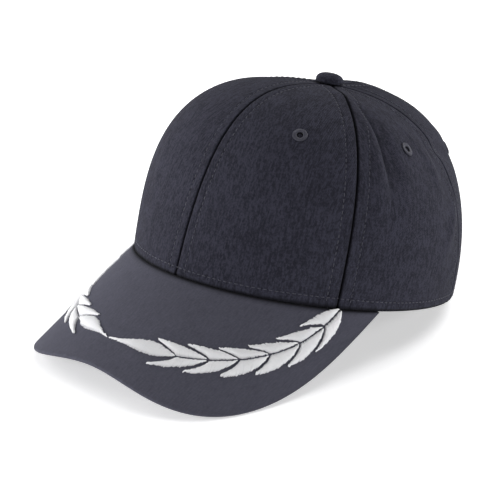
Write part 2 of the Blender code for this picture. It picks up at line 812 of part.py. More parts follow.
def add_ground_cutter():
    """Add the hidden block that presses flat what would reach below the ground plane."""
    half = 2 * RIM_BACK
    corners = [(x, y, z) for z in (-half, 0.0) for y in (-half, half) for x in (-half, half)]
    faces = [(0, 2, 3, 1), (4, 5, 7, 6), (0, 1, 5, 4), (2, 6, 7, 3), (0, 4, 6, 2), (1, 3, 7, 5)]
    mesh = bpy.data.meshes.new("ground_cutter")
    mesh.from_pydata(corners, [], faces)
    cutter = bpy.data.objects.new("ground_cutter", mesh)
    cutter.hide_render = True
    cutter.display_type = "WIRE"
    bpy.context.scene.collection.objects.link(cutter)
    return cutter


def main():
    """Build the whole cap at rest on the ground plane, with the origin under its middle."""
    clear_scene()
    frame = bpy.data.objects.new("cap_frame", None)
    bpy.context.scene.collection.objects.link(frame)
    add_crown(frame)
    add_button(frame)
    add_sweatband(frame)
    strap = add_strap(frame)
    brim = add_brim(frame)
    add_sprays(frame)
    lean = resting_lean(mesh_points(brim), mesh_points(strap))
    pieces = [mesh_points(thing) for thing in frame.children if not thing.hide_render]
    depth = leaned(np.concatenate(pieces), lean)[0]
    frame.rotation_euler = (-lean, 0.0, 0.0)
    frame.location = (0.0, -(depth.min() + depth.max()) / 2, -lowest(mesh_points(brim), lean))
    cut(strap, add_ground_cutter())


main()
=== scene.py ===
"""A charcoal twill cap with white laurel embroidery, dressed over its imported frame.

The cloth, brim, stitching and embroidery are worked out in the cap's own frame, whose origin is the middle
of the oval head opening, with +Z up to the button and -Y out along the brim, and are then leaned back to
where the cap rests. Lengths are in metres.
"""

from __future__ import annotations

import logging
import math
from dataclasses import dataclass, field
from enum import Enum
from typing import Callable, Iterable, Sequence

import bpy
import numpy as np
from mathutils import Matrix, Vector

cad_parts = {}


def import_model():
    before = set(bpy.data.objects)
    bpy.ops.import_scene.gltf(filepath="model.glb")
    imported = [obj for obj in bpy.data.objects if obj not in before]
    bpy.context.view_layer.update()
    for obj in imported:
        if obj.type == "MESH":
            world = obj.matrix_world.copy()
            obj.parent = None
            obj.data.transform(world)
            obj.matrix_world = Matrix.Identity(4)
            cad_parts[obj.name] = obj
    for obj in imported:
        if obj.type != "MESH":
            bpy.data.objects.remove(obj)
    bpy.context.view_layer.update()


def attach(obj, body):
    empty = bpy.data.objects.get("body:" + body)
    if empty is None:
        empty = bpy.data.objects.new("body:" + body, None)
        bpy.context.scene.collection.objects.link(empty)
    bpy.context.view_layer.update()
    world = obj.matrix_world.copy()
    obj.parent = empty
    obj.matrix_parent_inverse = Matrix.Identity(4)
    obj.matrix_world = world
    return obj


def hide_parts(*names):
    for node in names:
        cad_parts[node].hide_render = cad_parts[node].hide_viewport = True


LOG = logging.getLogger("cap")
QUARTER = math.pi / 2
Array = np.ndarray
Surface = Callable[[Array, Array], Array]


class Side(Enum):
    """The wearer's sides, with the sign of X on each."""

    LEFT = 1
    RIGHT = -1

    @property
    def label(self) -> str:
        """Return the side as it is written in a node's name."""
        return self.name.lower()


@dataclass(frozen=True)
class Section:
    """The crown's curve up one seam, as powers of a quarter turn's cosine and sine."""

    angle: float
    spread: float
    rise: float
    belly: float


@dataclass(frozen=True)
class Fold:
    """A soft ridge or dent in the cloth, with its lengths as shares of the crown's height."""

    angle: float
    level: float
    turn: float
    length: float
    width: float
    height: float


@dataclass(frozen=True)
class LeafPair:
    """Two leaves of a spray: their root, how far back they run and reach, and how pointed the root is."""

    root: float
    turn: float
    inner: float
    outer: float
    point: float


SECTIONS = (
    Section(angle=0, spread=0.636, rise=0.826, belly=-0.023),
    Section(angle=60, spread=0.702, rise=0.624, belly=0.023),
    Section(angle=120, spread=0.810, rise=0.872, belly=0.014),
    Section(angle=180, spread=0.572, rise=0.636, belly=0.017),
)

FOLDS = (
    Fold(angle=68, level=0.58, turn=-4, length=0.30, width=0.040, height=0.016),
    Fold(angle=76, level=0.56, turn=-6, length=0.24, width=0.060, height=-0.026),
    Fold(angle=64, level=0.80, turn=0, length=0.10, width=0.050, height=0.010),
    Fold(angle=130, level=0.53, turn=80, length=0.16, width=0.050, height=-0.022),
    Fold(angle=141, level=0.57, turn=80, length=0.14, width=0.060, height=0.010),
    Fold(angle=104, level=0.50, turn=5, length=0.14, width=0.040, height=0.009),
    Fold(angle=112, level=0.29, turn=-35, length=0.16, width=0.045, height=0.014),
    Fold(angle=186, level=0.83, turn=90, length=0.16, width=0.130, height=0.018),
    Fold(angle=290, level=0.60, turn=5, length=0.26, width=0.060, height=-0.018),
    Fold(angle=232, level=0.55, turn=-70, length=0.18, width=0.060, height=-0.018),
)

# Small creases that only the finished cloth shows
CREASES = (
    Fold(angle=73.0, level=0.58, turn=-4, length=0.24, width=0.019, height=-0.021),
    Fold(angle=80, level=0.60, turn=-4, length=0.24, width=0.045, height=0.008),
    Fold(angle=98, level=0.62, turn=8, length=0.10, width=0.018, height=0.004),
    Fold(angle=110, level=0.60, turn=-6, length=0.12, width=0.020, height=-0.004),
    Fold(angle=84, level=0.52, turn=60, length=0.05, width=0.016, height=-0.004),
    Fold(angle=114, level=0.13, turn=-60, length=0.12, width=0.022, height=0.005),
    Fold(angle=100, level=0.12, turn=70, length=0.12, width=0.024, height=-0.004),
    Fold(angle=48, level=0.22, turn=30, length=0.14, width=0.030, height=0.003),
    Fold(angle=22, level=0.16, turn=-50, length=0.12, width=0.028, height=0.003),
    Fold(angle=330, level=0.30, turn=20, length=0.18, width=0.030, height=0.003),
)

LEAF_PAIRS = (
    LeafPair(root=37.4, turn=19.5, inner=1.06, outer=0.94, point=0.74),
    LeafPair(root=48.3, turn=18.1, inner=1.00, outer=1.02, point=0.74),
    LeafPair(root=59.8, turn=17.6, inner=0.86, outer=1.10, point=0.72),
    LeafPair(root=72.3, turn=18.5, inner=0.82, outer=1.08, point=0.72),
    LeafPair(root=84.0, turn=18.5, inner=0.84, outer=1.05, point=0.70),
    LeafPair(root=93.8, turn=16.9, inner=0.92, outer=0.96, point=0.56),
)


def unit(vectors: Array) -> Array:
    """Return vectors at length 1."""
    return vectors / np.linalg.norm(vectors, axis=-1, keepdims=True)


def bump(distance: Array, width: float) -> Array:
    """Return a soft bell that is 1 at no distance and fades over a width."""
    return np.exp(-(distance / width) ** 2)


def run_lengths(points: Array) -> Array:
    """Return the length run along a line of points up to each of them."""
    return np.concatenate(([0.0], np.cumsum(np.linalg.norm(np.diff(points, axis=0), axis=-1))))


def spokes(turns: Array, beside: Array, other: Array) -> Array:
    """Return unit spokes at turns round a ring that lies in the plane of two directions."""
    return np.cos(turns)[..., None] * beside + np.sin(turns)[..., None] * other


def closed_round(rings: Array) -> Array:
    """Return rings of points with each one's first point once more at its end."""
    return np.concatenate((rings, rings[:, :1]), axis=1)


@dataclass(frozen=True)
class Rest:
    """How the cap stands: leaned back, with its head opening's middle at a place in the world."""

    lean: float = 14.977
    middle: tuple[float, float, float] = (0.0, 0.02463, 0.02345)

    def matrix(self) -> Array:
        """Return the turn from the cap's frame to the world.

        Returns:
            A 3 by 3 matrix.
        """
        lean = math.radians(self.lean)
        return np.array((
            (1.0, 0.0, 0.0),
            (0.0, math.cos(lean), math.sin(lean)),
            (0.0, -math.sin(lean), math.cos(lean)),
        ))

    def place(self, points: Array) -> Array:
        """Return points of the cap's frame where they are in the world."""
        return points @ self.matrix().T + np.array(self.middle)


@dataclass(frozen=True)
class Rim:
    """The oval head opening."""

    front: float = 0.0975
    back: float = 0.0997
    half_width: float = 0.0852

    def point(self, angle: Array) -> tuple[Array, Array]:
        """Return x and y of the oval at an angle from the front."""
        length = np.where(np.cos(angle) > 0, self.front, self.back)
        return self.half_width * np.sin(angle), -length * np.cos(angle)


@dataclass(frozen=True)
class CrownForm:
    """The crown's outer surface, its seams, topstitch rows and folds."""

    rim: Rim = Rim()
    height: float = 0.1065
    panels: int = 6
    cloth: float = 0.0016
    sewn_gap: float = 0.0003
    seam_depth: float = 0.0013
    seam_half_width: float = 0.00055
    welt_height: float = 0.00010
    welt_half_width: float = 0.0026
    row_offset: float = 0.0065
    row_depth: float = 0.00028
    row_half_width: float = 0.0008
    hem_depth: float = 0.0006
    hem_row: float = 0.0045
    deep_crease: float = -0.015
    table_points: int = 241
    turn_step: float = 1e-4

    @property
    def lift(self) -> Array:
        """Return the small step up from the brim's seat to the crown's edge."""
        return np.array((0.0, 0.0, self.sewn_gap))

    def values(self, angle: Array) -> tuple[Array, Array, Array]:
        """Work out the crown's curve between the seams, as waves round it.

        Args:
            angle: turns from the front, in radians.

        Returns:
            The spread, rise and belly at each angle.
        """
        angles = np.radians([section.angle for section in SECTIONS])
        rows = [(section.spread, section.rise, section.belly) for section in SECTIONS]
        orders = np.arange(len(SECTIONS))
        waves = np.linalg.solve(np.cos(np.outer(angles, orders)), np.array(rows))
        found = np.cos(np.asarray(angle)[..., None] * orders) @ waves
        return found[..., 0], found[..., 1], found[..., 2]

    def smooth(self, angle: Array, climb: Array) -> Array:
        """Return points of the crown without seams or folds.

        Args:
            angle: turns from the front, in radians.
            climb: climbs, from 0 at the rim to a quarter turn at the button.

        Returns:
            A point for each pair of the two.
        """
        spread, rise, belly = self.values(angle)
        level = np.sin(climb) ** rise
        plan = np.cos(climb) ** spread * (1 + belly * np.sin(math.pi * level))
        x, y = self.rim.point(angle)
        return np.stack((x * plan, y * plan, self.height * level), axis=-1)

    def outward(self, surface: Surface, angle: Array, climb: Array) -> Array:
        """Return the outward normals of a surface.

        Args:
            surface: gives points for angles and climbs.
            angle: turns from the front, in radians.
            climb: climbs from the rim.

        Returns:
            A unit vector for each pair of angle and climb.
        """
        step = self.turn_step
        upward = np.where(climb < QUARTER / 2, step, -step)
        around = surface(angle + step, climb) - surface(angle - step, climb)
        along = (surface(angle, climb + upward) - surface(angle, climb)) * np.sign(upward)[..., None]
        return unit(np.cross(around, along))

    def meridian(self, angle: float) -> tuple[Array, Array]:
        """Measure the cloth up one side of the crown.

        Args:
            angle: the side's turn from the front, in radians.

        Returns:
            Climbs from the rim to the button, and the cloth length that each has reached.
        """
        climb = QUARTER * (1 - np.linspace(1, 0, self.table_points) ** 3)
        points = self.smooth(np.full_like(climb, angle), climb)
        return climb, run_lengths(points)

    def climb_at(self, angle: float, length: Array) -> Array:
        """Return the climb at a length of cloth up from the rim."""
        climbs, lengths = self.meridian(angle)
        return np.interp(length, lengths, climbs)

    def climb_above(self, angle: float, start: float, length: float) -> float:
        """Return the climb at a length of cloth up from another climb."""
        climbs, lengths = self.meridian(angle)
        return np.interp(np.interp(start, climbs, lengths) + length, lengths, climbs)

    def cloth_length(self, angle: float) -> float:
        """Return the length of cloth from the rim to the middle of the button."""
        return float(self.meridian(angle)[1][-1])

    def seam_distance(self, angle: Array, points: Array) -> Array:
        """Return how far each point lies from its nearest seam.

        Args:
            angle: the points' turns from the front.
            points: the points.

        Returns:
            The distances round the crown.
        """
        pitch = 2 * math.pi / self.panels
        turn = np.abs((angle + pitch / 2) % pitch - pitch / 2)
        return turn * np.hypot(points[..., 0], points[..., 1])

    def fold_height(self, fold: Fold, points: Array) -> Array:
        """Return how far a fold lifts each point out of the smooth crown.

        Args:
            fold: the ridge or dent.
            points: points of the smooth crown.

        Returns:
            A height for each point, below 0 in a dent.
        """
        angle = np.array(math.radians(fold.angle))
        climb = self.climb_at(float(angle), fold.level * self.cloth_length(float(angle)))
        centre = self.smooth(angle, climb)
        normal = self.outward(self.smooth, angle, climb)
        level = unit(np.cross((0, 0, 1), normal))
        upright = np.cross(normal, level)
        lean = math.radians(fold.turn)
        offset = points - centre
        across = offset @ (level * math.cos(lean) + upright * math.sin(lean))
        along = offset @ (upright * math.cos(lean) - level * math.sin(lean))
        spread = (across / (fold.width * self.height)) ** 2 + (along / (fold.length * self.height)) ** 2
        return fold.height * self.height * np.exp(-spread)

    def relief(self, angle: Array, points: Array) -> Array:
        """Return how far the finished cloth stands out of the smooth crown.

        Args:
            angle: the points' turns from the front.
            points: points of the smooth crown.

        Returns:
            A height for each point, from its seams, topstitch rows, folds and creases.
        """
        seam = self.seam_distance(angle, points)
        lift = -self.seam_depth * bump(seam, self.seam_half_width)
        lift = lift + self.welt_height * bump(seam - self.row_offset / 2, self.welt_half_width)
        lift = lift - self.row_depth * bump(seam - self.row_offset, self.row_half_width)
        for fold in (*FOLDS, *CREASES):
            lift = lift + self.fold_height(fold, points)
        return lift

    def pinch(self, points: Array) -> Array:
        """Return how far each point lies down in a crease too deep for light, from 0 to 1."""
        deep = [fold for fold in CREASES if fold.height < self.deep_crease]
        return sum(self.fold_height(fold, points) / (fold.height * self.height) for fold in deep)

    def outer(self, angle: Array, climb: Array) -> Array:
        """Return points of the finished outer cloth.

        Args:
            angle: turns from the front, in radians.
            climb: climbs from the rim.

        Returns:
            A point for each pair of the two.
        """
        angle, climb = np.broadcast_arrays(angle, climb)
        points = self.smooth(angle, climb)
        return points + self.relief(angle, points)[..., None] * self.outward(self.smooth, angle, climb)


@dataclass(frozen=True)
class BrimForm:
    """The brim's sheet, which runs straight forward and down from the front of the oval."""

    rim: Rim = Rim()
    slope: float = 40.3
    length: float = 0.0688
    end: float = 76.1
    corner: float = 3.15
    lip: float = 0.0012
    thickness: float = 0.0026
    end_thinning: float = 0.6
    thinning_power: float = 6.0
    table_points: int = 2001

    def normal(self, angle: Array) -> Array:
        """Return the upper normals, which stay the same straight down the slope.

        Args:
            angle: turns from the front, in radians.

        Returns:
            A unit vector for each angle.
        """
        slope = math.radians(self.slope)
        around = np.stack((
            self.rim.half_width * np.cos(angle),
            self.rim.front * np.sin(angle),
            np.zeros_like(angle),
        ), axis=-1)
        return unit(np.cross((0.0, -math.cos(slope), -math.sin(slope)), around))

    def point(self, angle: Array, run: Array, lift: Array | float = 0.0) -> Array:
        """Return points on or over the brim's upper face.

        Args:
            angle: turns from the front, in radians.
            run: how far down the slope each point lies from the crown.
            lift: how far it stands off the face.

        Returns:
            A point for each angle.
        """
        slope = math.radians(self.slope)
        x, y = self.rim.point(angle)
        parts = np.broadcast_arrays(x, y - run * math.cos(slope), -run * math.sin(slope))
        points = np.stack(parts, axis=-1)
        normals = self.normal(np.broadcast_to(angle, points.shape[:-1]))
        return points + np.asarray(lift)[..., None] * normals

    def reach(self, angle: Array) -> Array:
        """Return how far the brim runs down its slope from the crown.

        Args:
            angle: turns from the front, in radians.

        Returns:
            A length for each angle.
        """
        slope = math.radians(self.slope)
        end_x, end_y = self.rim.point(np.array(math.radians(self.end)))
        x, y = self.rim.point(angle)
        depth = self.rim.front + end_y + self.length * math.cos(slope)
        share = np.clip(np.abs(x) / end_x, 0, 1)
        edge = end_y - depth * (1 - share ** self.corner) ** (1 / self.corner)
        return (y - edge) / math.cos(slope) + self.lip

    def crown_edge(self, angle: Array | float) -> Array:
        """Return how far down the flat brim the crown's edge lies at an angle from the front."""
        return self.rim.front * np.cos(angle) * math.cos(math.radians(self.slope))

    def bend(self, across: Array, down: Array, lift: Array) -> Array:
        """Return points of the flat brim's pattern where they lie on the bent one.

        Args:
            across: how far each point lies from the pattern's middle line, to the wearer's left.
            down: how far down the pattern it lies.
            lift: how far it stands off the cloth.

        Returns:
            A point for each place on the pattern.
        """
        slope = math.radians(self.slope)
        angles = np.linspace(-QUARTER, QUARTER, self.table_points)
        stretch = np.hypot(
            self.rim.half_width * np.cos(angles),
            self.rim.front * math.sin(slope) * np.sin(angles),
        )
        steps = (stretch[1:] + stretch[:-1]) / 2 * np.diff(angles)
        table = np.concatenate(([0.0], np.cumsum(steps)))
        table = table - table[len(angles) // 2]
        angle = np.interp(across, table, angles)
        return self.point(angle, down - self.crown_edge(angle), lift)


class Graph:
    """A node tree, with a short way to add a node and wire its sockets."""

    def __init__(self, tree: bpy.types.NodeTree) -> None:
        """Take the tree that nodes are added to."""
        self.tree = tree

    def add(self, kind: str, inputs: dict | None = None, **settings: object) -> bpy.types.Node:
        """Add a node.

        Args:
            kind: Blender's name for the node's type.
            inputs: a value or another node's output for each input, by its name or place.
            settings: the node's own properties.

        Returns:
            The new node.
        """
        node = self.tree.nodes.new(kind)
        for key, value in settings.items():
            setattr(node, key, value)
        self.feed(node, inputs or {})
        return node

    def feed(self, node: bpy.types.Node, inputs: dict) -> None:
        """Fill a node's inputs.

        Args:
            node: the node.
            inputs: a value or another node's output for each input, by its name or place.
        """
        for key, value in inputs.items():
            if isinstance(value, bpy.types.NodeSocket):
                self.tree.links.new(value, node.inputs[key])
            else:
                node.inputs[key].default_value = value

    def math(self, operation: str, first: object, second: object = 0.0,
             third: object = 0.0) -> bpy.types.NodeSocket:
        """Return the output of one sum on up to three numbers."""
        return self.add("ShaderNodeMath", {0: first, 1: second, 2: third}, operation=operation).outputs[0]

    def noise(self, place: object, scale: object, detail: float) -> bpy.types.NodeSocket:
        """Return soft noise at a place, from 0 to 1."""
        inputs = {"Vector": place, "Scale": scale, "Detail": detail}
        return self.add("ShaderNodeTexNoise", inputs).outputs["Fac"]

    def mix(self, share: object, first: object, second: object) -> bpy.types.NodeSocket:
        """Return a blend of two colours."""
        return self.add("ShaderNodeMix", {0: share, 6: first, 7: second}, data_type="RGBA").outputs[2]

    def relief(self, height: object, depth: float, strength: float) -> bpy.types.NodeSocket:
        """Return the normal of a surface with a fine relief."""
        inputs = {"Height": height, "Distance": depth, "Strength": strength}
        return self.add("ShaderNodeBump", inputs).outputs["Normal"]


def new_material(name: str) -> tuple[bpy.types.Material, Graph, bpy.types.Node]:
    """Start a material.

    Args:
        name: the material's name.

    Returns:
        The material, a Graph on its nodes, and its shader.
    """
    material = bpy.data.materials.new(name)
    material.use_nodes = True
    return material, Graph(material.node_tree), material.node_tree.nodes["Principled BSDF"]


def new_group(name: str, inputs: dict[str, tuple[str, float | None]], outputs: Sequence[str]) -> tuple:
    """Start a shader node group.

    Args:
        name: the group's name.
        inputs: each input's socket type and first value, by its name.
        outputs: the names of its outputs, which are numbers.

    Returns:
        The group's tree, a Graph on it, its input node and its output node.
    """
    tree = bpy.data.node_groups.new(name, "ShaderNodeTree")
    for label, (kind, value) in inputs.items():
        socket = tree.interface.new_socket(label, in_out="INPUT", socket_type=kind)
        if value is not None:
            socket.default_value = value
    for label in outputs:
        tree.interface.new_socket(label, in_out="OUTPUT", socket_type="NodeSocketFloat")
    graph = Graph(tree)
    return tree, graph, graph.add("NodeGroupInput"), graph.add("NodeGroupOutput")


@dataclass(frozen=True)
class TwillWeave:
    """The weave of twill: slanting ribs over cross yarns, with slubs, speckles and soft clouds.

    The scales are in noise cells a metre. The other numbers say how strongly each part shows.
    """

    rib_across: float = 0.82
    rib_up: float = 0.57
    wander_scale: float = 380.0
    wander: float = 1.6
    cross_yarn: float = 0.18
    speckle_scale: float = 950.0
    slub_scale: float = 900.0
    slub_stretch: tuple[float, float, float] = (1.0, 0.25, 1.0)
    grain: float = 2.2
    cloud_scale: float = 70.0
    cloud: float = 0.8
    # How strongly the ribs paint shade into their hollows and light onto their crests.
    rib_shade: float = 0.35

    def group(self) -> bpy.types.NodeTree:
        """Make the shared group.

        Returns:
            A group from Cloth, a place on the cloth in metres, to Tone, around a half, and Height.
        """
        tree, graph, given, result = new_group("twill_weave", {
            "Cloth": ("NodeSocketVector", None),
            "Rib pitch": ("NodeSocketFloat", 0.0008),
            "Mottling": ("NodeSocketFloat", 0.5),
        }, ("Tone", "Height"))
        cloth = given.outputs["Cloth"]
        parts = graph.add("ShaderNodeSeparateXYZ", {0: cloth})
        slant = graph.math("MULTIPLY", parts.outputs[0], self.rib_across)
        rise = graph.math("MULTIPLY", parts.outputs[1], self.rib_up)
        course = graph.math("DIVIDE", graph.math("ADD", slant, rise), given.outputs["Rib pitch"])
        drift = graph.math("MULTIPLY", graph.noise(cloth, self.wander_scale, 2.0), self.wander)
        turn = graph.math("MULTIPLY", graph.math("ADD", course, drift), 2 * math.pi)
        rib = graph.math("MULTIPLY_ADD", graph.math("SINE", turn), 0.5, 0.5)
        weft = graph.math("DIVIDE", parts.outputs[1], given.outputs["Rib pitch"])
        weft_turn = graph.math("MULTIPLY", graph.math("ADD", weft, drift), 4 * math.pi)
        yarn = graph.math("MULTIPLY", graph.math("SINE", weft_turn), self.cross_yarn)
        drawn_out = graph.add("ShaderNodeMapping", {"Vector": cloth, "Scale": self.slub_stretch}).outputs[0]
        speckle = graph.math("SUBTRACT", graph.noise(cloth, self.speckle_scale, 3.0), 0.5)
        slub = graph.math("SUBTRACT", graph.noise(drawn_out, self.slub_scale, 2.0), 0.5)
        cloud = graph.math("SUBTRACT", graph.noise(cloth, self.cloud_scale, 3.0), 0.5)
        grain = graph.math("MULTIPLY", graph.math("ADD", speckle, slub), self.grain)
        shade = graph.math("ADD", grain, graph.math("MULTIPLY", cloud, self.cloud))
        shade = graph.math("MULTIPLY", shade, given.outputs["Mottling"])
        # Painted shade in the rib hollows and painted light on the rib crests.
        ribs = graph.math("MULTIPLY", graph.math("SUBTRACT", rib, 0.5), self.rib_shade)
        graph.feed(result, {
            "Tone": graph.math("ADD", graph.math("ADD", shade, ribs), 0.5),
            "Height": graph.math("ADD", graph.math("ADD", rib, yarn), speckle),
        })
        return tree


@dataclass(frozen=True)
class ThreadStrands:
    """A bundle of threads: fine fibres over a slight change of tone from patch to patch."""

    patch_scale: float = 160.0
    fibre_share: float = 0.6

    def group(self) -> bpy.types.NodeTree:
        """Make the shared group.

        Returns:
            A group from Place, a place in metres, to Tone, from 0 to 1, and Height.
        """
        tree, graph, given, result = new_group("thread_strands", {
            "Place": ("NodeSocketVector", None),
            "Fineness": ("NodeSocketFloat", 900.0),
        }, ("Tone", "Height"))
        fibres = graph.noise(given.outputs["Place"], given.outputs["Fineness"], 2.0)
        patches = graph.noise(given.outputs["Place"], self.patch_scale, 1.0)
        between = graph.math("MULTIPLY", patches, 1 - self.fibre_share)
        tone = graph.math("MULTIPLY_ADD", fibres, self.fibre_share, between)
        graph.feed(result, {"Tone": tone, "Height": fibres})
        return tree


@dataclass(frozen=True)
class ClothFinish:
    """Woven cotton: its colours in a rib's hollow and on its crest, which random grain mixes and the ribs mix
    as painted shade and painted light, its colour for painted shade, and how coarse it looks.
    """

    name: str
    hollow: tuple[float, float, float, float]
    crest: tuple[float, float, float, float]
    # Painted shade: the colour that seams, deep creases, the hem, joints and vent holes are darkened towards.
    shade_colour: tuple[float, float, float, float]
    rib_pitch: float = 0.0008
    mottling: float = 0.5
    bump_depth: float = 0.00012
    roughness: float = 0.92
    sheen: float = 0.015
    gloss: float = 0.10
    bump_strength: float = 0.9
    sheen_roughness: float = 0.5

    def material(self, weave: bpy.types.NodeTree) -> bpy.types.Material:
        """Make the finish's material.

        Args:
            weave: the shared weave group.

        Returns:
            The material, darkened with painted shade where a mesh's painted_shade attribute says so.
        """
        material, graph, shader = new_material(self.name)
        cloth = graph.add("ShaderNodeAttribute", attribute_name="cloth")
        woven = graph.add("ShaderNodeGroup", node_tree=weave)
        graph.feed(woven, {
            "Cloth": cloth.outputs["Vector"],
            "Rib pitch": self.rib_pitch,
            "Mottling": self.mottling,
        })
        # Painted shade: the mesh's painted_shade attribute darkens the cloth towards its shade colour.
        wear = graph.add("ShaderNodeAttribute", attribute_name="painted_shade")
        plain = graph.mix(woven.outputs["Tone"], self.hollow, self.crest)
        graph.feed(shader, {
            "Base Color": graph.mix(wear.outputs["Fac"], plain, self.shade_colour),
            "Normal": graph.relief(woven.outputs["Height"], self.bump_depth, self.bump_strength),
            "Roughness": self.roughness,
            "Sheen Weight": self.sheen,
            "Sheen Roughness": self.sheen_roughness,
            "Specular IOR Level": self.gloss,
        })
        return material


@dataclass(frozen=True)
class ThreadFinish:
    """Sewing or embroidery thread: its two tones, its gloss and how fine its fibres are."""

    name: str
    dark: tuple[float, float, float, float]
    light: tuple[float, float, float, float]
    roughness: float = 0.5
    fineness: float = 900.0
    bump_depth: float = 0.00005
    bump_strength: float = 0.6
    gloss: float = 0.35

    def material(self, strands: bpy.types.NodeTree) -> bpy.types.Material:
        """Make the finish's material.

        Args:
            strands: the shared strand group.

        Returns:
            The material.
        """
        material, graph, shader = new_material(self.name)
        place = graph.add("ShaderNodeTexCoord")
        fibres = graph.add("ShaderNodeGroup", node_tree=strands)
        graph.feed(fibres, {"Place": place.outputs["Object"], "Fineness": self.fineness})
        graph.feed(shader, {
            "Base Color": graph.mix(fibres.outputs["Tone"], self.dark, self.light),
            "Normal": graph.relief(fibres.outputs["Height"], self.bump_depth, self.bump_strength),
            "Roughness": self.roughness,
            "Specular IOR Level": self.gloss,
        })
        return material


TWILL = ClothFinish(
    name="charcoal twill",
    hollow=(0.0146, 0.0146, 0.0222, 1.0),
    crest=(0.0330, 0.0330, 0.0488, 1.0),
    shade_colour=(0.003, 0.003, 0.005, 1.0),
    mottling=1.2,
)
# Painted light: the brim is the same charcoal twill as the crown, coloured about three times as light for the
# light that falls on the brim.
LIT_BRIM_TWILL = ClothFinish(
    name="charcoal brim twill",
    hollow=(0.050, 0.050, 0.066, 1.0),
    crest=(0.082, 0.082, 0.108, 1.0),
    shade_colour=(0.003, 0.003, 0.005, 1.0),
    mottling=0.45,
    bump_depth=0.00008,
)
TAPE = ClothFinish(
    name="black cotton tape",
    hollow=(0.012, 0.012, 0.015, 1.0),
    crest=(0.030, 0.030, 0.036, 1.0),
    shade_colour=(0.008, 0.008, 0.010, 1.0),
    rib_pitch=0.0012,
)
SEWING_THREAD = ThreadFinish(
    name="charcoal thread",
    dark=(0.024, 0.024, 0.035, 1.0),
    light=(0.056, 0.056, 0.080, 1.0),
)
WHITE_THREAD = ThreadFinish(
    name="white satin thread",
    dark=(0.76, 0.76, 0.78, 1.0),
    light=(0.92, 0.92, 0.93, 1.0),
)
WHITE_PADDING = ThreadFinish(
    name="white padding stitches",
    dark=(0.54, 0.54, 0.57, 1.0),
    light=(0.70, 0.70, 0.73, 1.0),
    roughness=0.7,
)


@dataclass
class Wardrobe:
    """The materials of the whole cap, each made once."""

    made: dict[str, bpy.types.Material] = field(default_factory=dict)

    def __post_init__(self) -> None:
        """Make every finish from the two shared groups."""
        weave = TwillWeave().group()
        strands = ThreadStrands().group()
        for finish in (TWILL, LIT_BRIM_TWILL, TAPE):
            self.made[finish.name] = finish.material(weave)
        for finish in (SEWING_THREAD, WHITE_THREAD, WHITE_PADDING):
            self.made[finish.name] = finish.material(strands)

    def __getitem__(self, finish: ClothFinish | ThreadFinish) -> bpy.types.Material:
        """Return a finish's material."""
        return self.made[finish.name]


@dataclass
class Patch:
    """Points and faces of one mesh as it grows, with each point's place on its cloth."""

    points: list[Array] = field(default_factory=list)
    faces: list[Array] = field(default_factory=list)
    cloth: list[Array] = field(default_factory=list)
    painted_shade: list[Array] = field(default_factory=list)
    count: int = 0

    def add(self, points: Array, faces: Array, cloth: Array | None = None,
            painted_shade: Array | None = None) -> None:
        """Add points and the four-cornered faces between them.

        Args:
            points: the points, in any shape that ends in 3.
            faces: the faces' corners, counted from the first of these points.
            cloth: each point's place on the cloth, if it isn't the point itself.
            painted_shade: how far each point is darkened with painted shade, from 0 to 1, if any is.
        """
        points = points.reshape(-1, 3)
        self.points.append(points)
        self.faces.append(faces + self.count)
        self.cloth.append(points if cloth is None else cloth.reshape(-1, 3))
        self.painted_shade.append(np.zeros(len(points)) if painted_shade is None else painted_shade.ravel())
        self.count += len(points)

    def add_wall(self, outer: Array, inner: Array, cloth: Array, painted_shade: Array | None = None) -> None:
        """Add a closed wall between two grids of points.

        Args:
            outer: the outer face's points, as rows by columns by 3.
            inner: the inner face's points, in the same order.
            cloth: each outer point's place on the cloth, which the inner point shares.
            painted_shade: how far each outer point is darkened with painted shade, if any is.
        """
        shape = outer.shape[:2]
        shade_share = np.zeros(shape) if painted_shade is None else painted_shade
        self.add(np.stack((outer, inner)), wall_faces(*shape), np.stack((cloth, cloth)),
                 np.stack((shade_share, np.zeros(shape))))

    def make(self, name: str, rest: Rest, material: bpy.types.Material) -> bpy.types.Object:
        """Return the patch as an object in the world, shaded smooth.

        Args:
            name: the object's name.
            rest: how the cap stands.
            material: the object's material.

        Returns:
            The linked object.
        """
        mesh = bpy.data.meshes.new(name)
        faces = np.concatenate(self.faces).tolist()
        mesh.from_pydata(rest.place(np.concatenate(self.points)).tolist(), [], faces)
        cloth = mesh.attributes.new("cloth", "FLOAT_VECTOR", "POINT")
        cloth.data.foreach_set("vector", np.concatenate(self.cloth).astype(np.float32).ravel())
        # Painted shade: each point's darkening goes to the mesh as an attribute.
        painted_shade = mesh.attributes.new("painted_shade", "FLOAT", "POINT")
        painted_shade.data.foreach_set("value", np.concatenate(self.painted_shade).astype(np.float32))
        mesh.shade_smooth()
        mesh.materials.append(material)
        thing = bpy.data.objects.new(name, mesh)
        bpy.context.scene.collection.objects.link(thing)
        return thing


def grid_faces(rows: int, columns: int) -> Array:
    """Return the faces of a grid of points.

    Args:
        rows: how many rows of points there are.
        columns: how many points a row has.

    Returns:
        Four corners for each face.
    """
    row, column = np.meshgrid(np.arange(rows - 1), np.arange(columns - 1), indexing="ij")
    start = (row * columns + column).ravel()
    return np.stack((start, start + 1, start + columns + 1, start + columns), axis=-1)


def wall_faces(rows: int, columns: int) -> Array:
    """Return the faces of a closed wall between two grids of points, one after the other.

    Args:
        rows: how many rows of points each grid has.
        columns: how many points a row has.

    Returns:
        Four corners for each face of the two sides and the edge between them.
    """
    count = rows * columns
    front = grid_faces(rows, columns)
    under = front[:, ::-1] + count
    index = np.arange(count).reshape(rows, columns)
    loop = np.concatenate((index[0], index[1:, -1], index[-1, -2::-1], index[-2:0:-1, 0]))
    after = np.roll(loop, -1)
    sides = np.stack((after, loop, loop + count, after + count), axis=-1)
    return np.concatenate((front, under, sides))


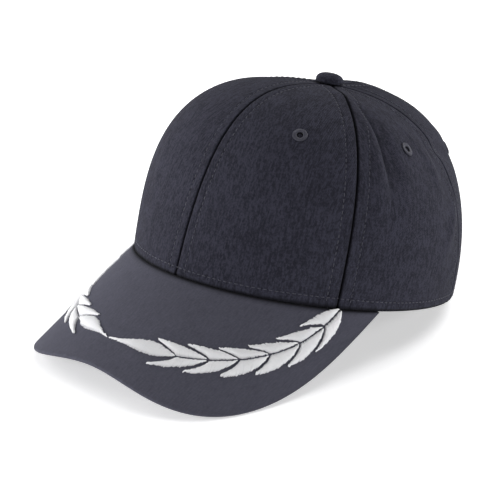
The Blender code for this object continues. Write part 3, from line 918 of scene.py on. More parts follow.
def tube_faces(rings: int, sides: int) -> Array:
    """Return the faces round a tube of rings, which stays open at its two ends.

    Args:
        rings: how many rings of points there are.
        sides: how many points a ring has.

    Returns:
        Four corners for each face.
    """
    ring, side = np.meshgrid(np.arange(rings - 1), np.arange(sides), indexing="ij")
    start = (ring * sides + side).ravel()
    after = (ring * sides + (side + 1) % sides).ravel()
    return np.stack((start, after, after + sides, start + sides), axis=-1)


@dataclass(frozen=True)
class Stitching:
    """Thread laid as short rounded stitches, each one a small tube that dips in at its ends."""

    radius: float = 0.00027
    sides: int = 6
    rings: int = 7
    pitch: float = 0.0031
    share: float = 0.72
    sink: float = 0.0005
    stand: float = 0.00012
    thinnest: float = 0.02

    def lay(self, patch: Patch, paths: Array, normals: Array) -> None:
        """Add tubes along paths.

        Args:
            patch: the mesh that the tubes join.
            paths: points of each stitch, as stitches by points by 3.
            normals: the outward direction of each stitch, as stitches by 3.
        """
        count, rings = paths.shape[:2]
        along = unit(np.gradient(paths, axis=1))
        across = unit(np.cross(along, normals[:, None]))
        up = np.cross(across, along)
        taper = np.sqrt(np.clip(1 - np.linspace(-1, 1, rings) ** 8, self.thinnest, 1))
        turns = np.linspace(0, 2 * math.pi, self.sides, endpoint=False)
        rim = spokes(turns, across[:, :, None], up[:, :, None])
        points = paths[:, :, None] + rim * (self.radius * taper)[None, :, None, None]
        tube = tube_faces(rings, self.sides)
        faces = tube[None] + (np.arange(count) * rings * self.sides)[:, None, None]
        patch.add(points, faces.reshape(-1, 4))

    def sew_row(self, patch: Patch, line: Array, normals: Array) -> None:
        """Sew a row of stitches along a line on the cloth, at this stitching's pitch.

        Args:
            patch: the mesh that the stitches join.
            line: the row's points.
            normals: outward normals at those points.
        """
        lengths = run_lengths(line)
        count = max(1, int(lengths[-1] / self.pitch))
        starts = (np.arange(count) + (1 - self.share) / 2) * lengths[-1] / count
        places = starts[:, None] + np.linspace(0, self.share * lengths[-1] / count, self.rings)[None]
        paths = np.stack([np.interp(places, lengths, part) for part in line.T], axis=-1)
        middles = places[:, self.rings // 2]
        outwards = unit(np.stack([np.interp(middles, lengths, part) for part in normals.T], axis=-1))
        rise = self.stand - self.sink * np.abs(np.linspace(-1, 1, self.rings)) ** 4
        self.lay(patch, paths + rise[None, :, None] * outwards[:, None], outwards)


@dataclass(frozen=True)
class Wear:
    """How dark the crown's cloth is painted as shade in a seam, under a row, at the hem and in a deep crease.
    """

    seam: float = 1.2
    seam_width: float = 0.00072
    row: float = 0.12
    row_width: float = 0.0006
    hem: float = 1.1
    hem_width: float = 0.0008
    painted_shade: float = 0.55

    def mask(self, form: CrownForm, turns: Array, points: Array, lengths_up: Array) -> Array:
        """Return how far each point of a panel is darkened with painted shade.

        Args:
            form: the crown's surface.
            turns: the points' turns from the front.
            points: points of the smooth crown.
            lengths_up: how much cloth lies between each point and the panel's lower edge.

        Returns:
            Shares from 0 to 1.
        """
        seam = form.seam_distance(turns, points)
        dark = self.seam * bump(seam, self.seam_width)
        dark = dark + self.row * bump(seam - form.row_offset, self.row_width)
        dark = dark + self.hem * bump(lengths_up, self.hem_width)
        return np.clip(dark + self.painted_shade * form.pinch(points), 0, 1)


@dataclass(frozen=True)
class VentRing:
    """An embroidered ring round a vent hole: thread wrapped slantwise over a round bed."""

    hole_radius: float = 0.0017
    pinhole_radius: float = 0.0003
    radius: float = 0.0029
    cord: float = 0.0010
    stitches: int = 46
    stitch_rings: int = 9
    lift: float = 0.00025
    flatness: float = 0.50
    tuck: float = 0.25
    slant: float = 0.10
    splay: float = 0.2
    bed_reach: float = 0.85
    bed_rise: float = 0.4
    bed_rings: int = 48
    bed_sides: int = 10
    hole_sides: int = 24


@dataclass(frozen=True)
class ButtonForm:
    """The covered button: a flattened dome whose cloth is gathered at its rim and tucked under."""

    radius: float = 0.0078
    height: float = 0.0048
    roundness: float = 2.6
    tuck: float = 0.55
    tuck_rise: float = 0.35
    # How dark the cloth tucked under the button's rim is painted, as painted shade.
    tuck_shade: float = 0.9
    gathers: int = 18
    gather_depth: float = 0.012
    gather_reach: float = 0.7
    base_gap: float = 0.0012
    shank_depth: float = 0.0022
    shank_flare: float = 1.1
    sides: int = 96
    rings: int = 26


@dataclass
class Crown:
    """The six-panel crown, its topstitching, its eyelets and its button."""

    form: CrownForm
    rest: Rest
    wardrobe: Wardrobe
    panel_names: tuple[str, ...] = (
        "front_panel_left", "side_panel_left", "back_panel_left",
        "back_panel_right", "side_panel_right", "front_panel_right",
    )
    columns: int = 84
    rows: int = 124
    shank_radius: float = 0.0042
    arch_half_width: float = 0.034
    arch_height: float = 0.042
    beside_seam: tuple[float, ...] = (
        0.0, 0.00035, 0.0007, 0.00105, 0.0015, 0.0021, 0.003, 0.0042,
        0.0054, 0.0059, 0.0063, 0.0067, 0.0071, 0.0078, 0.009,
    )
    above_edge: tuple[float, ...] = (0.0, 0.0006, 0.0012, 0.002, 0.0032, 0.004, 0.0045, 0.005, 0.0062)
    arch_columns: int = 22
    closest_columns: float = 0.0012
    hem_fade: float = 0.0007
    inner_dent: float = 0.6
    row_start: float = 0.002
    row_end: float = 0.012
    vents: tuple[tuple[str, float, float], ...] = (
        ("front_left", 35.0, 0.535), ("side_left", 88.0, 0.565), ("side_right", -88.0, 0.565),
        ("back_left", 155.0, 0.470), ("back_right", -155.0, 0.470))
    # Painted shade in the seams, topstitch rows, hem and deep creases.
    wear: Wear = Wear()
    ring: VentRing = VentRing()
    knob: ButtonForm = ButtonForm()

    @property
    def arch_turn(self) -> float:
        """Return the turn from the middle of the back to the arch's end."""
        return math.asin(self.arch_half_width / self.form.rim.half_width)

    def bottom_climb(self, angle: float) -> float:
        """Return the climb of the panels' lower edge: the rim, or the arch at the back.

        Args:
            angle: a turn from the front, in radians.

        Returns:
            The climb there.
        """
        share = abs(angle - math.pi) / self.arch_turn
        height = self.arch_height * math.sqrt(max(0.0, 1 - share ** 2))
        rise = self.form.values(np.array(angle))[1]
        return math.asin((height / self.form.height) ** (1 / float(rise)))

    def top_climb(self, angle: float) -> float:
        """Return the climb where the panels end, round the button's shank.

        Args:
            angle: a turn from the front, in radians.

        Returns:
            The climb there.
        """
        spread = float(self.form.values(np.array(angle))[0])
        plan = (self.shank_radius + self.form.sewn_gap) / math.hypot(*self.form.rim.point(np.array(angle)))
        return math.acos(plan ** (1 / spread))

    def column_angles(self, first: float, last: float) -> Array:
        """Return a panel's columns, close together beside its seams and at the arch's ends.

        Args:
            first: turn of the panel's first seam from the front.
            last: turn of its second seam.

        Returns:
            The columns' turns from the front, in order.
        """
        near = np.array(self.beside_seam) / self.form.rim.half_width
        plain = np.linspace(first + near[-1], last - near[-1], self.columns)[1:-1]
        angles = np.concatenate((first + near, plain, last - near))
        turn = self.arch_turn
        if min(abs(first - math.pi), abs(last - math.pi)) < turn:
            side = math.copysign(1.0, first + last - 2 * math.pi)
            arch = math.pi + side * turn * np.sin(np.linspace(0.02, QUARTER, self.arch_columns))
            beside = math.pi + side * (turn + near[1:5])
            angles = np.concatenate((angles, arch, beside))
        angles = np.sort(angles)
        return angles[np.concatenate(([True], np.diff(angles) > self.closest_columns))]

    def panel(self, name: str, first: float, last: float) -> bpy.types.Object:
        """Return one panel as a cloth wall that replaces its solid.

        Args:
            name: the panel's node.
            first: turn of its first seam from the front.
            last: turn of its second seam.

        Returns:
            The panel's cloth.
        """
        form = self.form
        angles = self.column_angles(first, last)
        hem = np.array(self.above_edge)
        turns = np.tile(angles, (self.rows + 1, 1))
        climbs = np.empty_like(turns)
        lengths_up = np.empty_like(turns)
        for column, angle in enumerate(angles):
            table, lengths = form.meridian(angle)
            start, end = np.interp((self.bottom_climb(angle), self.top_climb(angle)), table, lengths)
            above = np.linspace(start + hem[-1], end, self.rows + 2 - len(hem))[1:]
            places = np.concatenate((start + hem, above))
            climbs[:, column] = np.interp(places, lengths, table)
            lengths_up[:, column] = places - start
        points = form.smooth(turns, climbs)
        normals = form.outward(form.smooth, turns, climbs)
        relief = form.relief(turns, points)
        relief = relief - form.hem_depth * bump(lengths_up, self.hem_fade)
        relief = relief - form.row_depth * bump(lengths_up - form.hem_row, form.row_half_width)
        outer = points + relief[..., None] * normals + form.lift
        dents = np.minimum(relief, 0.0) * self.inner_dent
        inner = points + (dents - form.cloth)[..., None] * normals + form.lift
        middle = (first + last) / 2
        across = (turns - middle) * np.linalg.norm(points[..., :2], axis=-1)
        cloth = np.stack((across, lengths_up, np.full_like(across, middle)), axis=-1)
        patch = Patch()
        # Painted shade darkens the cloth's seams, topstitch rows, hem and deep creases.
        patch.add_wall(outer, inner, cloth, self.wear.mask(form, turns, points, lengths_up))
        thing = patch.make(f"{name}_cloth", self.rest, self.wardrobe[TWILL])
        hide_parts(name)
        return thing

    def sew_on(self, patch: Patch, angles: Array, climbs: Array, sunk: float = 0.0) -> None:
        """Sew a topstitch row on the finished cloth.

        Args:
            patch: the mesh that the stitches join.
            angles: the row's turns from the front.
            climbs: the row's climbs.
            sunk: how far the row lies below the cloth's face.
        """
        form = self.form
        normals = form.outward(form.smooth, angles, climbs)
        line = form.outer(angles, climbs) + form.lift - normals * sunk
        Stitching().sew_row(patch, line, normals)

    def topstitching(self) -> bpy.types.Object:
        """Sew the topstitch rows beside each seam, along the lower edge and round the arch.

        Returns:
            All the rows as one piece.
        """
        form = self.form
        patch = Patch()
        for seam in range(form.panels):
            base = seam * (2 * math.pi / form.panels)
            start = self.bottom_climb(base) if seam * 2 == form.panels else 0.0
            table, lengths = form.meridian(base)
            first = np.interp(start, table, lengths) + self.row_start
            climbs = np.interp(np.linspace(first, lengths[-1] - self.row_end, 160), lengths, table)
            flat = form.smooth(np.full_like(climbs, base), climbs)
            turn = form.row_offset / np.linalg.norm(flat[:, :2], axis=1)
            for side in Side:
                self.sew_on(patch, base + side.value * turn, climbs)
        edge = np.linspace(self.arch_turn - math.pi, math.pi - self.arch_turn, 620)
        climbs = np.array([form.climb_at(angle, form.hem_row) for angle in edge])
        self.sew_on(patch, edge, climbs, sunk=form.row_depth)
        arch = math.pi + self.arch_turn * np.sin(np.linspace(-1, 1, 200) * (QUARTER - 0.06))
        climbs = [form.climb_above(angle, self.bottom_climb(angle), form.hem_row) for angle in arch]
        self.sew_on(patch, arch, np.array(climbs))
        thing = patch.make("crown_topstitching", self.rest, self.wardrobe[SEWING_THREAD])
        return thing

    def vent_place(self, angle: float, level: float) -> tuple[Array, Array, Array, Array]:
        """Find a vent on the finished cloth.

        Args:
            angle: its turn from the front, in degrees.
            level: its share of the way up the cloth.

        Returns:
            Its middle, the cloth's outward normal there, and two directions along the cloth.
        """
        form = self.form
        turn = math.radians(angle) % (2 * math.pi)
        climb = np.array(float(form.climb_at(turn, level * form.cloth_length(turn))))
        normal = form.outward(form.outer, np.array(turn), climb)
        beside = unit(np.cross(normal, (0, 0, 1)))
        return form.outer(np.array(turn), climb) + form.lift, normal, beside, np.cross(normal, beside)

    def eyelet(self, vent: str, angle: float, level: float) -> bpy.types.Object:
        """Return one embroidered vent ring, which replaces its solid.

        Args:
            vent: the vent's name.
            angle: its turn from the front, in degrees.
            level: its share of the way up the cloth.

        Returns:
            The ring's thread and the bed under it.
        """
        ring = self.ring
        place, normal, beside, other = self.vent_place(angle, level)
        around = np.linspace(0, 2 * math.pi, ring.stitches, endpoint=False)
        wobble = 1 + 0.05 * np.sin(around * 7 + angle) + 0.03 * np.sin(around * 13)
        arc = np.linspace(-ring.tuck, math.pi + ring.tuck, ring.stitch_rings)
        radial = ring.radius + ring.cord * np.cos(math.pi - arc) * wobble[:, None]
        height = ring.lift + ring.cord * ring.flatness * np.sin(arc)
        slant = around[:, None] + ring.slant * np.linspace(-1, 1, len(arc))
        paths = place + radial[..., None] * spokes(slant, beside, other) + height[:, None] * normal
        patch = Patch()
        Stitching().lay(patch, paths, unit(normal + ring.splay * spokes(around, beside, other)))
        turns = np.linspace(0, 2 * math.pi, ring.bed_rings + 1)
        tube = np.linspace(0, 2 * math.pi, ring.bed_sides, endpoint=False)
        reach = ring.radius + ring.bed_reach * ring.cord * np.cos(tube)
        lift = ring.lift + ring.bed_rise * ring.cord * np.sin(tube)
        bed = place + reach[:, None] * spokes(turns, beside, other)[:, None] + lift[:, None] * normal
        patch.add(bed, tube_faces(len(turns), len(tube)))
        name = f"eyelet_{vent}"
        thing = patch.make(f"{name}_thread", self.rest, self.wardrobe[SEWING_THREAD])
        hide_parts(name)
        return thing

    def vent_hole(self, vent: str, angle: float, level: float) -> bpy.types.Object:
        """Return a disc of cloth in one vent hole, with a pinhole in it, darkened fully as painted shade for
        the inside of the crown.

        Args:
            vent: the vent's name.
            angle: its turn from the front, in degrees.
            level: its share of the way up the cloth.

        Returns:
            The cloth inside the ring.
        """
        ring = self.ring
        place, normal, beside, other = self.vent_place(angle, level)
        rim = spokes(np.linspace(0, 2 * math.pi, ring.hole_sides, endpoint=False), beside, other)
        steps = ((ring.radius, 0.0001), (ring.hole_radius, 0.00005), (ring.pinhole_radius, -0.0001))
        loop = closed_round(np.stack([place + rim * reach + normal * lift for reach, lift in steps]))
        patch = Patch()
        # Painted shade: the disc is darkened fully, for the shadow inside the crown.
        patch.add(loop, grid_faces(*loop.shape[:2])[:, ::-1], painted_shade=np.ones(loop.shape[:2]))
        thing = patch.make(f"vent_hole_{vent}", self.rest, self.wardrobe[TAPE])
        return thing

    def button(self) -> bpy.types.Object:
        """Make the cloth-covered button on its shank, which replaces its solid.

        Returns:
            The button's cover.
        """
        knob = self.knob
        base = self.form.height + 2 * self.form.sewn_gap
        turns = np.linspace(0, 2 * math.pi, knob.sides, endpoint=False)
        rim = spokes(turns, np.array((1.0, 0.0, 0.0)), np.array((0.0, 1.0, 0.0)))
        arc = np.linspace(-knob.tuck, QUARTER, knob.rings)
        power = 2 / knob.roundness
        reach = knob.radius * np.abs(np.cos(arc)) ** power
        rise = knob.height * np.sign(np.sin(arc)) * np.abs(np.sin(arc)) ** power
        rise = np.where(arc < 0, rise * knob.tuck_rise, rise)
        folded = np.clip(1 - np.abs(arc) / knob.gather_reach, 0, 1)
        gather = 1 - knob.gather_depth * np.cos(knob.gathers * turns) * folded[:, None]
        dome = (reach[:, None] * gather)[..., None] * rim
        dome[..., 2] = (base + knob.base_gap + rise)[:, None]
        dome = closed_round(dome)
        # Painted shade: the cloth tucked under the rim darkens towards the underside.
        shade_share = np.broadcast_to(np.clip(-arc * 2, 0, knob.tuck_shade)[:, None], dome.shape[:2])
        patch = Patch()
        patch.add(dome, grid_faces(*dome.shape[:2]), painted_shade=shade_share)
        steps = (
            (self.shank_radius, base - knob.shank_depth),
            (self.shank_radius * knob.shank_flare, base + knob.base_gap),
        )
        shank = closed_round(np.stack([rim * radius + (0.0, 0.0, height) for radius, height in steps]))
        # Painted shade: the shank under the button is darkened fully.
        patch.add(shank, grid_faces(*shank.shape[:2]), painted_shade=np.ones(shank.shape[:2]))
        thing = patch.make("button_cover", self.rest, self.wardrobe[TWILL])
        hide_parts("button")
        return thing

    def build(self) -> list[bpy.types.Object]:
        """Make the crown.

        Returns:
            All its pieces.
        """
        pitch = 2 * math.pi / self.form.panels
        pieces = [
            self.panel(name, index * pitch, (index + 1) * pitch)
            for index, name in enumerate(self.panel_names)
        ]
        pieces.append(self.topstitching())
        for vent, angle, level in self.vents:
            pieces.append(self.eyelet(vent, angle, level))
            pieces.append(self.vent_hole(vent, angle, level))
        pieces.append(self.button())
        return pieces


@dataclass
class Bands:
    """The sweatband inside the crown and the strap across its arch."""

    form: CrownForm
    rest: Rest
    wardrobe: Wardrobe
    depth: float = 0.0027
    band_height: float = 0.030
    band_thickness: float = 0.0012
    band_gap: float = 0.0010
    strap_half_width: float = 0.048
    strap_height: float = 0.022
    strap_thickness: float = 0.0020
    band_puff: float = 0.0004
    strap_puff: float = 0.0005
    rows: int = 26
    ground: float = 0.00005
    edge_dip: float = 0.0012
    row_inset: float = 0.003
    row_dip: float = 0.7
    row_width: float = 0.0009
    row_sunk: float = 0.0002

    def wall(self, angles: Array, height: float, thickness: float, puff: float) -> Patch:
        """Return an upright band that lies inside the panels.

        Args:
            angles: the band's turns from the front.
            height: its height in cloth.
            thickness: its thickness in the full parts.
            puff: how much thinner it is at its edges and stitch rows.

        Returns:
            The band's wall.
        """
        form = self.form
        lengths = np.linspace(0, height, self.rows + 1)
        turns = np.tile(angles, (self.rows + 1, 1))
        climbs = np.stack([form.climb_at(angle, lengths) for angle in angles], axis=1)
        points = form.smooth(turns, climbs) + form.lift
        normals = form.outward(form.smooth, turns, climbs)
        share = np.linspace(0, 1, self.rows + 1)
        edge = np.minimum(share, 1 - share) * height
        dip = bump(edge, self.edge_dip) + self.row_dip * bump(edge - self.row_inset, self.row_width)
        drawn_in = (puff * dip / 2)[:, None, None]
        outer = points - (self.depth + drawn_in) * normals
        inner = points - (self.depth + thickness - drawn_in) * normals
        around = run_lengths(np.stack(form.rim.point(angles), axis=-1))
        cloth = np.stack(np.broadcast_arrays(around[None], lengths[:, None], 0.5), axis=-1)
        patch = Patch()
        patch.add_wall(outer, inner, cloth)
        return patch

    def press_flat(self, patch: Patch) -> None:
        """Press onto the ground what would reach below it.

        Args:
            patch: the mesh, whose points are moved.
        """
        turn = self.rest.matrix()
        for index, points in enumerate(patch.points):
            world = self.rest.place(points)
            world[:, 2] = np.maximum(world[:, 2], self.ground)
            patch.points[index] = (world - np.array(self.rest.middle)) @ turn

    def build(self) -> list[bpy.types.Object]:
        """Make the bands.

        Returns:
            The sweatband, the strap and the strap's stitching.
        """
        turn = math.asin(self.strap_half_width / self.form.rim.half_width)
        end = math.pi - turn - self.band_gap / self.form.rim.half_width
        band = self.wall(np.linspace(-end, end, 260), self.band_height, self.band_thickness, self.band_puff)
        sweatband = band.make("sweatband_cloth", self.rest, self.wardrobe[TAPE])
        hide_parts("sweatband")
        angles = math.pi + np.linspace(-turn, turn, 120)
        tab = self.wall(angles, self.strap_height, self.strap_thickness, self.strap_puff)
        self.press_flat(tab)
        strap = tab.make("back_strap_cloth", self.rest, self.wardrobe[TWILL])
        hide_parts("back_strap")
        return [sweatband, strap, self.strap_stitching(angles)]

    def strap_stitching(self, angles: Array) -> bpy.types.Object:
        """Sew the rows near the strap's two long edges.

        Args:
            angles: the strap's turns from the front.

        Returns:
            Both rows as one piece.
        """
        form = self.form
        patch = Patch()
        for length in (self.row_inset, self.strap_height - self.row_inset):
            climbs = np.array([form.climb_at(angle, length) for angle in angles])
            normals = form.outward(form.smooth, angles, climbs)
            line = form.smooth(angles, climbs) - (self.depth + self.row_sunk) * normals + form.lift
            Stitching(sink=0.0004, stand=0.00008).sew_row(patch, line, normals)
        self.press_flat(patch)
        thing = patch.make("back_strap_stitching", self.rest, self.wardrobe[SEWING_THREAD])
        return thing


@dataclass
class Brim:
    """The brim: one cloth-covered board with a rolled edge, and its seat under the crown."""

    form: BrimForm
    rest: Rest
    wardrobe: Wardrobe
    columns: int = 110
    seat: float = 0.0042

    def build(self) -> list[bpy.types.Object]:
        """Make the brim's cover, which replaces its solid.

        Returns:
            The cover, alone in a list.
        """
        form = self.form
        end = math.radians(form.end)
        spacing = 1 - (1 - np.linspace(0, 1, self.columns + 1)) ** 1.8
        angles = end * np.concatenate((-spacing[:0:-1], spacing))
        reach = form.reach(angles)
        normals = form.normal(angles)
        thinning = form.end_thinning * (np.abs(angles) / end) ** form.thinning_power
        thickness = form.thickness * (1 - thinning)
        x, y = form.rim.point(angles)
        inward = -unit(np.stack((x / form.rim.half_width ** 2, y / form.rim.front ** 2, 0 * x), axis=-1))
        rim = form.point(angles, 0.0)
        up = np.array((0.0, 0.0, 1.0))
        rows = [rim + inward * self.seat * share - up * 0.00002 for share in (1.0, 0.5, 0.15)]
        shares = np.concatenate((np.linspace(0, 0.94, 40), 1 - 0.06 * np.linspace(0.85, 0.05, 7) ** 1.5))
        half = thickness / 2
        back = np.minimum(half, reach * 0.3)
        for share in shares:
            run = share * (reach - back)
            rows.append(form.point(angles, run))
        for turn in np.linspace(0, math.pi, 13)[1:-1]:
            run = reach - back + back * math.sin(turn)
            rows.append(form.point(angles, run) - normals * (half * (1 - math.cos(turn)))[:, None])
        for share in shares[::-4]:
            run = share * (reach - back)
            rows.append(form.point(angles, run) - normals * thickness[:, None])
        rows.append(rim + inward * self.seat - up * thickness[:, None])
        points = np.array(rows)
        runs = run_lengths(points[:, len(angles) // 2])
        across = run_lengths(rim)
        cloth = np.stack(np.broadcast_arrays(across[None], runs[:, None], 0.2), axis=-1)
        # Painted shade: the seat under the crown and the first rows of the brim's face beside it are
        # darkened.
        seat_shade = np.zeros(points.shape[:2])
        seat_shade[:4] = 0.9
        seat_shade[4] = 0.25
        loop = np.concatenate((points, points[:1]))
        patch = Patch()
        patch.add(loop, grid_faces(*loop.shape[:2])[:, ::-1],
                  np.concatenate((cloth, cloth[:1])), np.concatenate((seat_shade, seat_shade[:1])))
        thing = patch.make("brim_cover", self.rest, self.wardrobe[LIT_BRIM_TWILL])
        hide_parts("brim")
        return [thing]


@dataclass
class Laurel:
    """The two laurel sprays, each leaf in satin stitch over a bed of padding stitches."""

    brim: BrimForm
    rest: Rest
    wardrobe: Wardrobe
    radius: float = 0.0842
    run: float = 0.0512
    reach: float = 0.0085
    gap: float = 0.0013
    notch_gap: float = 0.00035
    meeting_shift: float = -0.0035
    meeting_gap: float = 0.0010
    tip_root: float = 25.5
    tip_width: float = 0.0080
    tip_lean: float = 0.0024
    tip_skew: float = 1.55
    tip_fullness: float = 1.05
    edge_height: float = 0.00055
    crest_height: float = 0.00095
    stitch_pitch: float = 0.00058
    stitch_radius: float = 0.00032
    unevenness: float = 0.00022
    slant: float = 0.10
    stem_gap: float = 0.00046
    seed: int = 7

    def spot(self, side: Side, turn: Array, reach: Array, lift: Array) -> Array:
        """Return points of a spray.

        Args:
            side: the wearer's side that the spray is on.
            turn: the points' turns round the spray's arc.
            reach: how far out from the arc they are.
            lift: their height over the brim.

        Returns:
            The points, in the brim's own frame.
        """
        centre = self.brim.crown_edge(0.0) + self.run - self.radius
        radius = self.radius + reach
        across = side.value * radius * np.sin(turn)
        return self.brim.bend(across, centre + radius * np.cos(turn), lift)

    def flare(self, share: Array, point: float) -> Array:
        """Return how wide a leaf pair has opened, from its root at 0 to its tips at 1."""
        return np.sin(QUARTER * np.clip(share, 0, 1) ** point)

    def between(self, inner: Array, outer: Array, steps: int) -> tuple[Array, Array, Array]:
        """Divide each stitch of a leaf into equal steps.

        Args:
            inner: turn and reach of each stitch's end at the stem.
            outer: turn and reach of each stitch's end at the leaf's edge.
            steps: how many places along a stitch are wanted.

        Returns:
            The places' shares of the way, their turns and their reaches.
        """
        share = np.linspace(0, 1, steps)
        turn = inner[:, :1] + (outer[:, :1] - inner[:, :1]) * share
        reach = inner[:, 1:] + (outer[:, 1:] - inner[:, 1:]) * share
        return share, turn, reach

    def sew(self, patch: Patch, side: Side, inner: Array, outer: Array, crest: Array) -> None:
        """Sew satin stitches across a leaf.

        Args:
            patch: the mesh that the stitches join.
            side: the wearer's side that the spray is on.
            inner: turn and reach of each stitch's end at the stem.
            outer: turn and reach of each stitch's end at the leaf's edge.
            crest: height of each stitch's middle over the brim.
        """
        stitching = Stitching(radius=self.stitch_radius, sides=5, rings=8)
        share, turn, reach = self.between(inner, outer, stitching.rings)
        arch = np.sin(math.pi * share) ** 0.7
        lift = self.edge_height * 0.35 + crest[:, None] * arch[None]
        paths = self.spot(side, turn, reach, lift)
        middle = stitching.rings // 2
        above = self.spot(side, turn[:, middle], reach[:, middle], lift[:, middle] + 0.001)
        outwards = unit(above - paths[:, middle])
        stitching.lay(patch, paths, outwards)

    def pad(self, patch: Patch, side: Side, inner: Array, outer: Array, crest: Array) -> None:
        """Lay the bed of padding under a leaf's stitches.

        Args:
            patch: the mesh that the bed joins.
            side: the wearer's side that the spray is on.
            inner: turn and reach of each stitch's end at the stem.
            outer: turn and reach of each stitch's end at the leaf's edge.
            crest: height of each stitch's middle over the brim.
        """
        share, turn, reach = self.between(inner, outer, 7)
        lift = 0.0001 + 0.8 * crest[:, None] * np.sin(math.pi * share)[None] ** 0.6
        points = self.spot(side, turn, reach, lift)
        patch.add(points, grid_faces(*points.shape[:2]))

    def half_leaf(self, pair: LeafPair, previous: float, behind: float, leaf: int,
                  reach: float, noise: np.random.Generator) -> tuple[Array, Array, Array]:
        """Return the stitches of one leaf of a pair.

        Args:
            pair: the leaf pair.
            previous: turn of the root before it, where the two leaves part.
            behind: how pointed the root before it is.
            leaf: -1 for the leaf towards the crown, 1 for the one towards the brim's edge.
            reach: how far the leaf's tip reaches from the stem.
            noise: the source of the stitches' small unevenness.

        Returns:
            Each stitch's inner end, outer end and crest height.
        """
        root = math.radians(pair.root)
        length = math.radians(pair.turn)
        notch = previous + self.notch_gap / self.radius
        parting = (root - notch) / length
        count = int(length * self.radius / self.stitch_pitch)
        share = np.linspace(0.03, 1.0, count)
        turn = root - share * length
        outer = reach * self.flare(share, pair.point)
        past = np.clip((share - parting) / (1 - parting), 0, 1)
        gap = self.notch_gap + (self.gap - self.notch_gap) * past ** 1.3
        hug = reach * self.flare((previous - turn) / length, behind) + gap
        inner = np.where(share > parting, np.minimum(hug, 0.87 * outer), self.stem_gap / 2)
        start = turn + self.slant * (1 - share) * outer / reach * 0.3
        uneven = noise.normal(0, self.unevenness, (2, count))
        inner_ends = np.stack((start, leaf * (inner + np.abs(uneven[0]))), axis=-1)
        outer_ends = np.stack((turn - 0.010, leaf * (outer + uneven[1])), axis=-1)
        width = (outer - inner) / self.reach
        crest = self.crest_height * np.clip(0.45 + 0.9 * width, 0.4, 1.0)
        return inner_ends, outer_ends, crest

    def pair(self, side: Side, number: int, before: LeafPair | None) -> bpy.types.Object:
        """Make one pair of leaves, which replaces its solid.

        Args:
            side: the wearer's side that the spray is on.
            number: the pair's number from the middle of the brim.
            before: the pair nearer the middle, or None for the first.

        Returns:
            The pair's stitches, with their padding as a child.
        """
        pair = LEAF_PAIRS[number - 1]
        previous = math.radians(before.root if before else self.tip_root)
        behind = before.point if before else pair.point
        noise = np.random.default_rng(self.seed + number * 2 + side.value)
        threads = Patch()
        beds = Patch()
        for leaf, share in ((-1, pair.inner), (1, pair.outer)):
            sewn = self.half_leaf(pair, previous, behind, leaf, share * self.reach, noise)
            self.sew(threads, side, *sewn)
            self.pad(beds, side, *sewn)
        return self.finish(f"leaf_pair_{side.label}_{number}", threads, beds)

    def tip(self, side: Side) -> bpy.types.Object:
        """Make the end leaf near the middle of the brim, which replaces its solid.

        Args:
            side: the wearer's side that the spray is on.

        Returns:
            The leaf's stitches, with their padding as a child.
        """
        noise = np.random.default_rng(self.seed + side.value)
        root = math.radians(self.tip_root)
        start = (side.value * self.meeting_shift + self.meeting_gap / 2) / self.radius
        count = int((root - start) * self.radius / self.stitch_pitch)
        share = np.linspace(0.03, 0.985, count)
        turn = start + (root - start) * share
        swell = np.sin(math.pi * share ** self.tip_skew) ** self.tip_fullness
        middle = -self.tip_lean * np.sin(math.pi * share)
        half = self.tip_width / 2 * swell + 0.00025
        uneven = noise.normal(0, self.unevenness, (2, count))
        inner = np.stack((turn + 0.012, middle - half + uneven[0]), axis=-1)
        outer = np.stack((turn - 0.012, middle + half + uneven[1]), axis=-1)
        crest = self.crest_height * np.clip(0.35 + 0.75 * swell, 0.3, 1.0)
        threads = Patch()
        beds = Patch()
        self.sew(threads, side, inner, outer, crest)
        self.pad(beds, side, inner, outer, crest)
        return self.finish(f"leaf_tip_{side.label}", threads, beds)

    def finish(self, node: str, threads: Patch, beds: Patch) -> bpy.types.Object:
        """Turn a leaf's meshes into its two pieces.

        Args:
            node: the leaf's node.
            threads: the mesh of its stitches.
            beds: the mesh of its padding.

        Returns:
            The stitches, with the padding as their child.
        """
        thing = threads.make(f"{node}_stitches", self.rest, self.wardrobe[WHITE_THREAD])
        bed = beds.make(f"{node}_padding", self.rest, self.wardrobe[WHITE_PADDING])
        bed.parent = thing
        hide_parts(node)
        return thing

    def build(self) -> list[bpy.types.Object]:
        """Make both sprays.

        Returns:
            Every leaf's stitches.
        """
        pieces = []
        for side in Side:
            pieces.append(self.tip(side))
            for number, before in enumerate((None, *LEAF_PAIRS[:-1]), 1):
                pieces.append(self.pair(side, number, before))
        return pieces


@dataclass(frozen=True)
class Softbox:
    """A square area light, turned from the camera's own turn."""

    name: str
    turn: float
    elevation: float
    size: float
    power: float
    distance: float = 2.2


SOFTBOXES = (
    Softbox("left_light", turn=-70.0, elevation=12.0, size=1.2, power=38.0),
    Softbox("far_left_light", turn=-118.0, elevation=18.0, size=1.4, power=38.0),
    Softbox("right_light", turn=75.0, elevation=12.0, size=1.2, power=32.0),
    Softbox("back_light", turn=140.0, elevation=40.0, size=1.4, power=30.0),
    Softbox("top_light", turn=0.0, elevation=82.0, size=1.6, power=13.0),
)


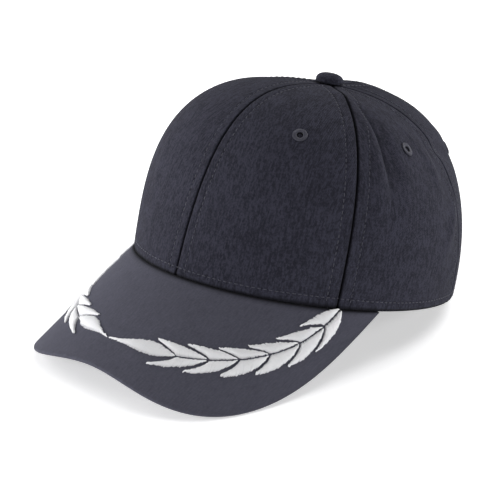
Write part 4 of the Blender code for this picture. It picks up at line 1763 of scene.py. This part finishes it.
@dataclass
class Studio:
    """The pale floor, the soft lights and the camera."""

    turn: float = 43.477
    elevation: float = 22.384
    distance: float = 1.2896
    lens: float = 172.03
    sensor: float = 36.0
    target: tuple[float, float, float] = (0.0148, -0.02697, 0.05495)
    floor_glow: float = 0.45
    floor_half_width: float = 6.0
    world_strength: float = 0.01

    def aim(self, turn: float, elevation: float) -> tuple[Vector, Vector, Vector]:
        """Find the directions of a view of the cap.

        Args:
            turn: the view's turn round the cap, in degrees.
            elevation: its height over the horizon, in degrees.

        Returns:
            Its right, up and backward directions.
        """
        around = math.radians(turn)
        rise = math.radians(elevation)
        back = Vector((math.sin(around) * math.cos(rise), -math.cos(around) * math.cos(rise), math.sin(rise)))
        right = Vector((math.cos(around), math.sin(around), 0.0))
        return right, back.cross(right), back

    def stand(self, thing: bpy.types.Object, turn: float, elevation: float, distance: float) -> None:
        """Place a camera or light so that it faces the cap.

        Args:
            thing: the camera or light.
            turn: its turn round the cap, in degrees.
            elevation: its height over the horizon, in degrees.
            distance: how far it stands from the target.
        """
        right, up, back = self.aim(turn, elevation)
        matrix = Matrix((right, up, back)).transposed().to_4x4()
        matrix.translation = Vector(self.target) + back * distance
        thing.matrix_world = matrix
        bpy.context.scene.collection.objects.link(thing)

    def camera(self) -> None:
        """Add the camera at the photograph's angle."""
        lens = bpy.data.cameras.new("camera")
        lens.sensor_width = self.sensor
        lens.lens = self.lens
        thing = bpy.data.objects.new("camera", lens)
        self.stand(thing, self.turn, self.elevation, self.distance)
        bpy.context.scene.camera = thing

    def light(self, box: Softbox) -> None:
        """Add one soft light."""
        lamp = bpy.data.lights.new(box.name, "AREA")
        lamp.size = box.size
        lamp.energy = box.power
        thing = bpy.data.objects.new(box.name, lamp)
        self.stand(thing, self.turn + box.turn, box.elevation, box.distance)

    def floor(self) -> None:
        """Add the pale floor."""
        mesh = bpy.data.meshes.new("floor")
        half = self.floor_half_width
        mesh.from_pydata([(-half, -half, 0), (half, -half, 0), (half, half, 0), (-half, half, 0)],
                         [], [(0, 1, 2, 3)])
        material = bpy.data.materials.new("pale floor")
        material.use_nodes = True
        shader = material.node_tree.nodes["Principled BSDF"]
        shader.inputs["Base Color"].default_value = (0.93, 0.93, 0.94, 1.0)
        shader.inputs["Roughness"].default_value = 0.9
        shader.inputs["Specular IOR Level"].default_value = 0.1
        shader.inputs["Emission Color"].default_value = (1.0, 1.0, 1.0, 1.0)
        shader.inputs["Emission Strength"].default_value = self.floor_glow
        mesh.materials.append(material)
        thing = bpy.data.objects.new("floor", mesh)
        bpy.context.scene.collection.objects.link(thing)

    def build(self) -> None:
        """Add everything that isn't part of the cap."""
        world = bpy.data.worlds.new("studio")
        world.use_nodes = True
        sky = world.node_tree.nodes["Background"]
        sky.inputs["Color"].default_value = (1.0, 1.0, 1.0, 1.0)
        sky.inputs["Strength"].default_value = self.world_strength
        bpy.context.scene.world = world
        bpy.context.scene.view_settings.view_transform = "Standard"
        self.floor()
        for box in SOFTBOXES:
            self.light(box)
        self.camera()


def main() -> None:
    """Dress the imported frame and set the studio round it."""
    logging.basicConfig(level=logging.INFO, format="%(name)s: %(message)s")
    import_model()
    rest = Rest()
    wardrobe = Wardrobe()
    crown = CrownForm()
    brim = BrimForm()
    assemblies: Iterable[Crown | Bands | Brim | Laurel] = (
        Crown(crown, rest, wardrobe),
        Bands(crown, rest, wardrobe),
        Brim(brim, rest, wardrobe),
        Laurel(brim, rest, wardrobe),
    )
    for assembly in assemblies:
        for piece in assembly.build():
            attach(piece, "root")
            LOG.info("%s: %s faces", piece.name, len(piece.data.polygons))
    Studio().build()


if __name__ == "__main__":
    main()
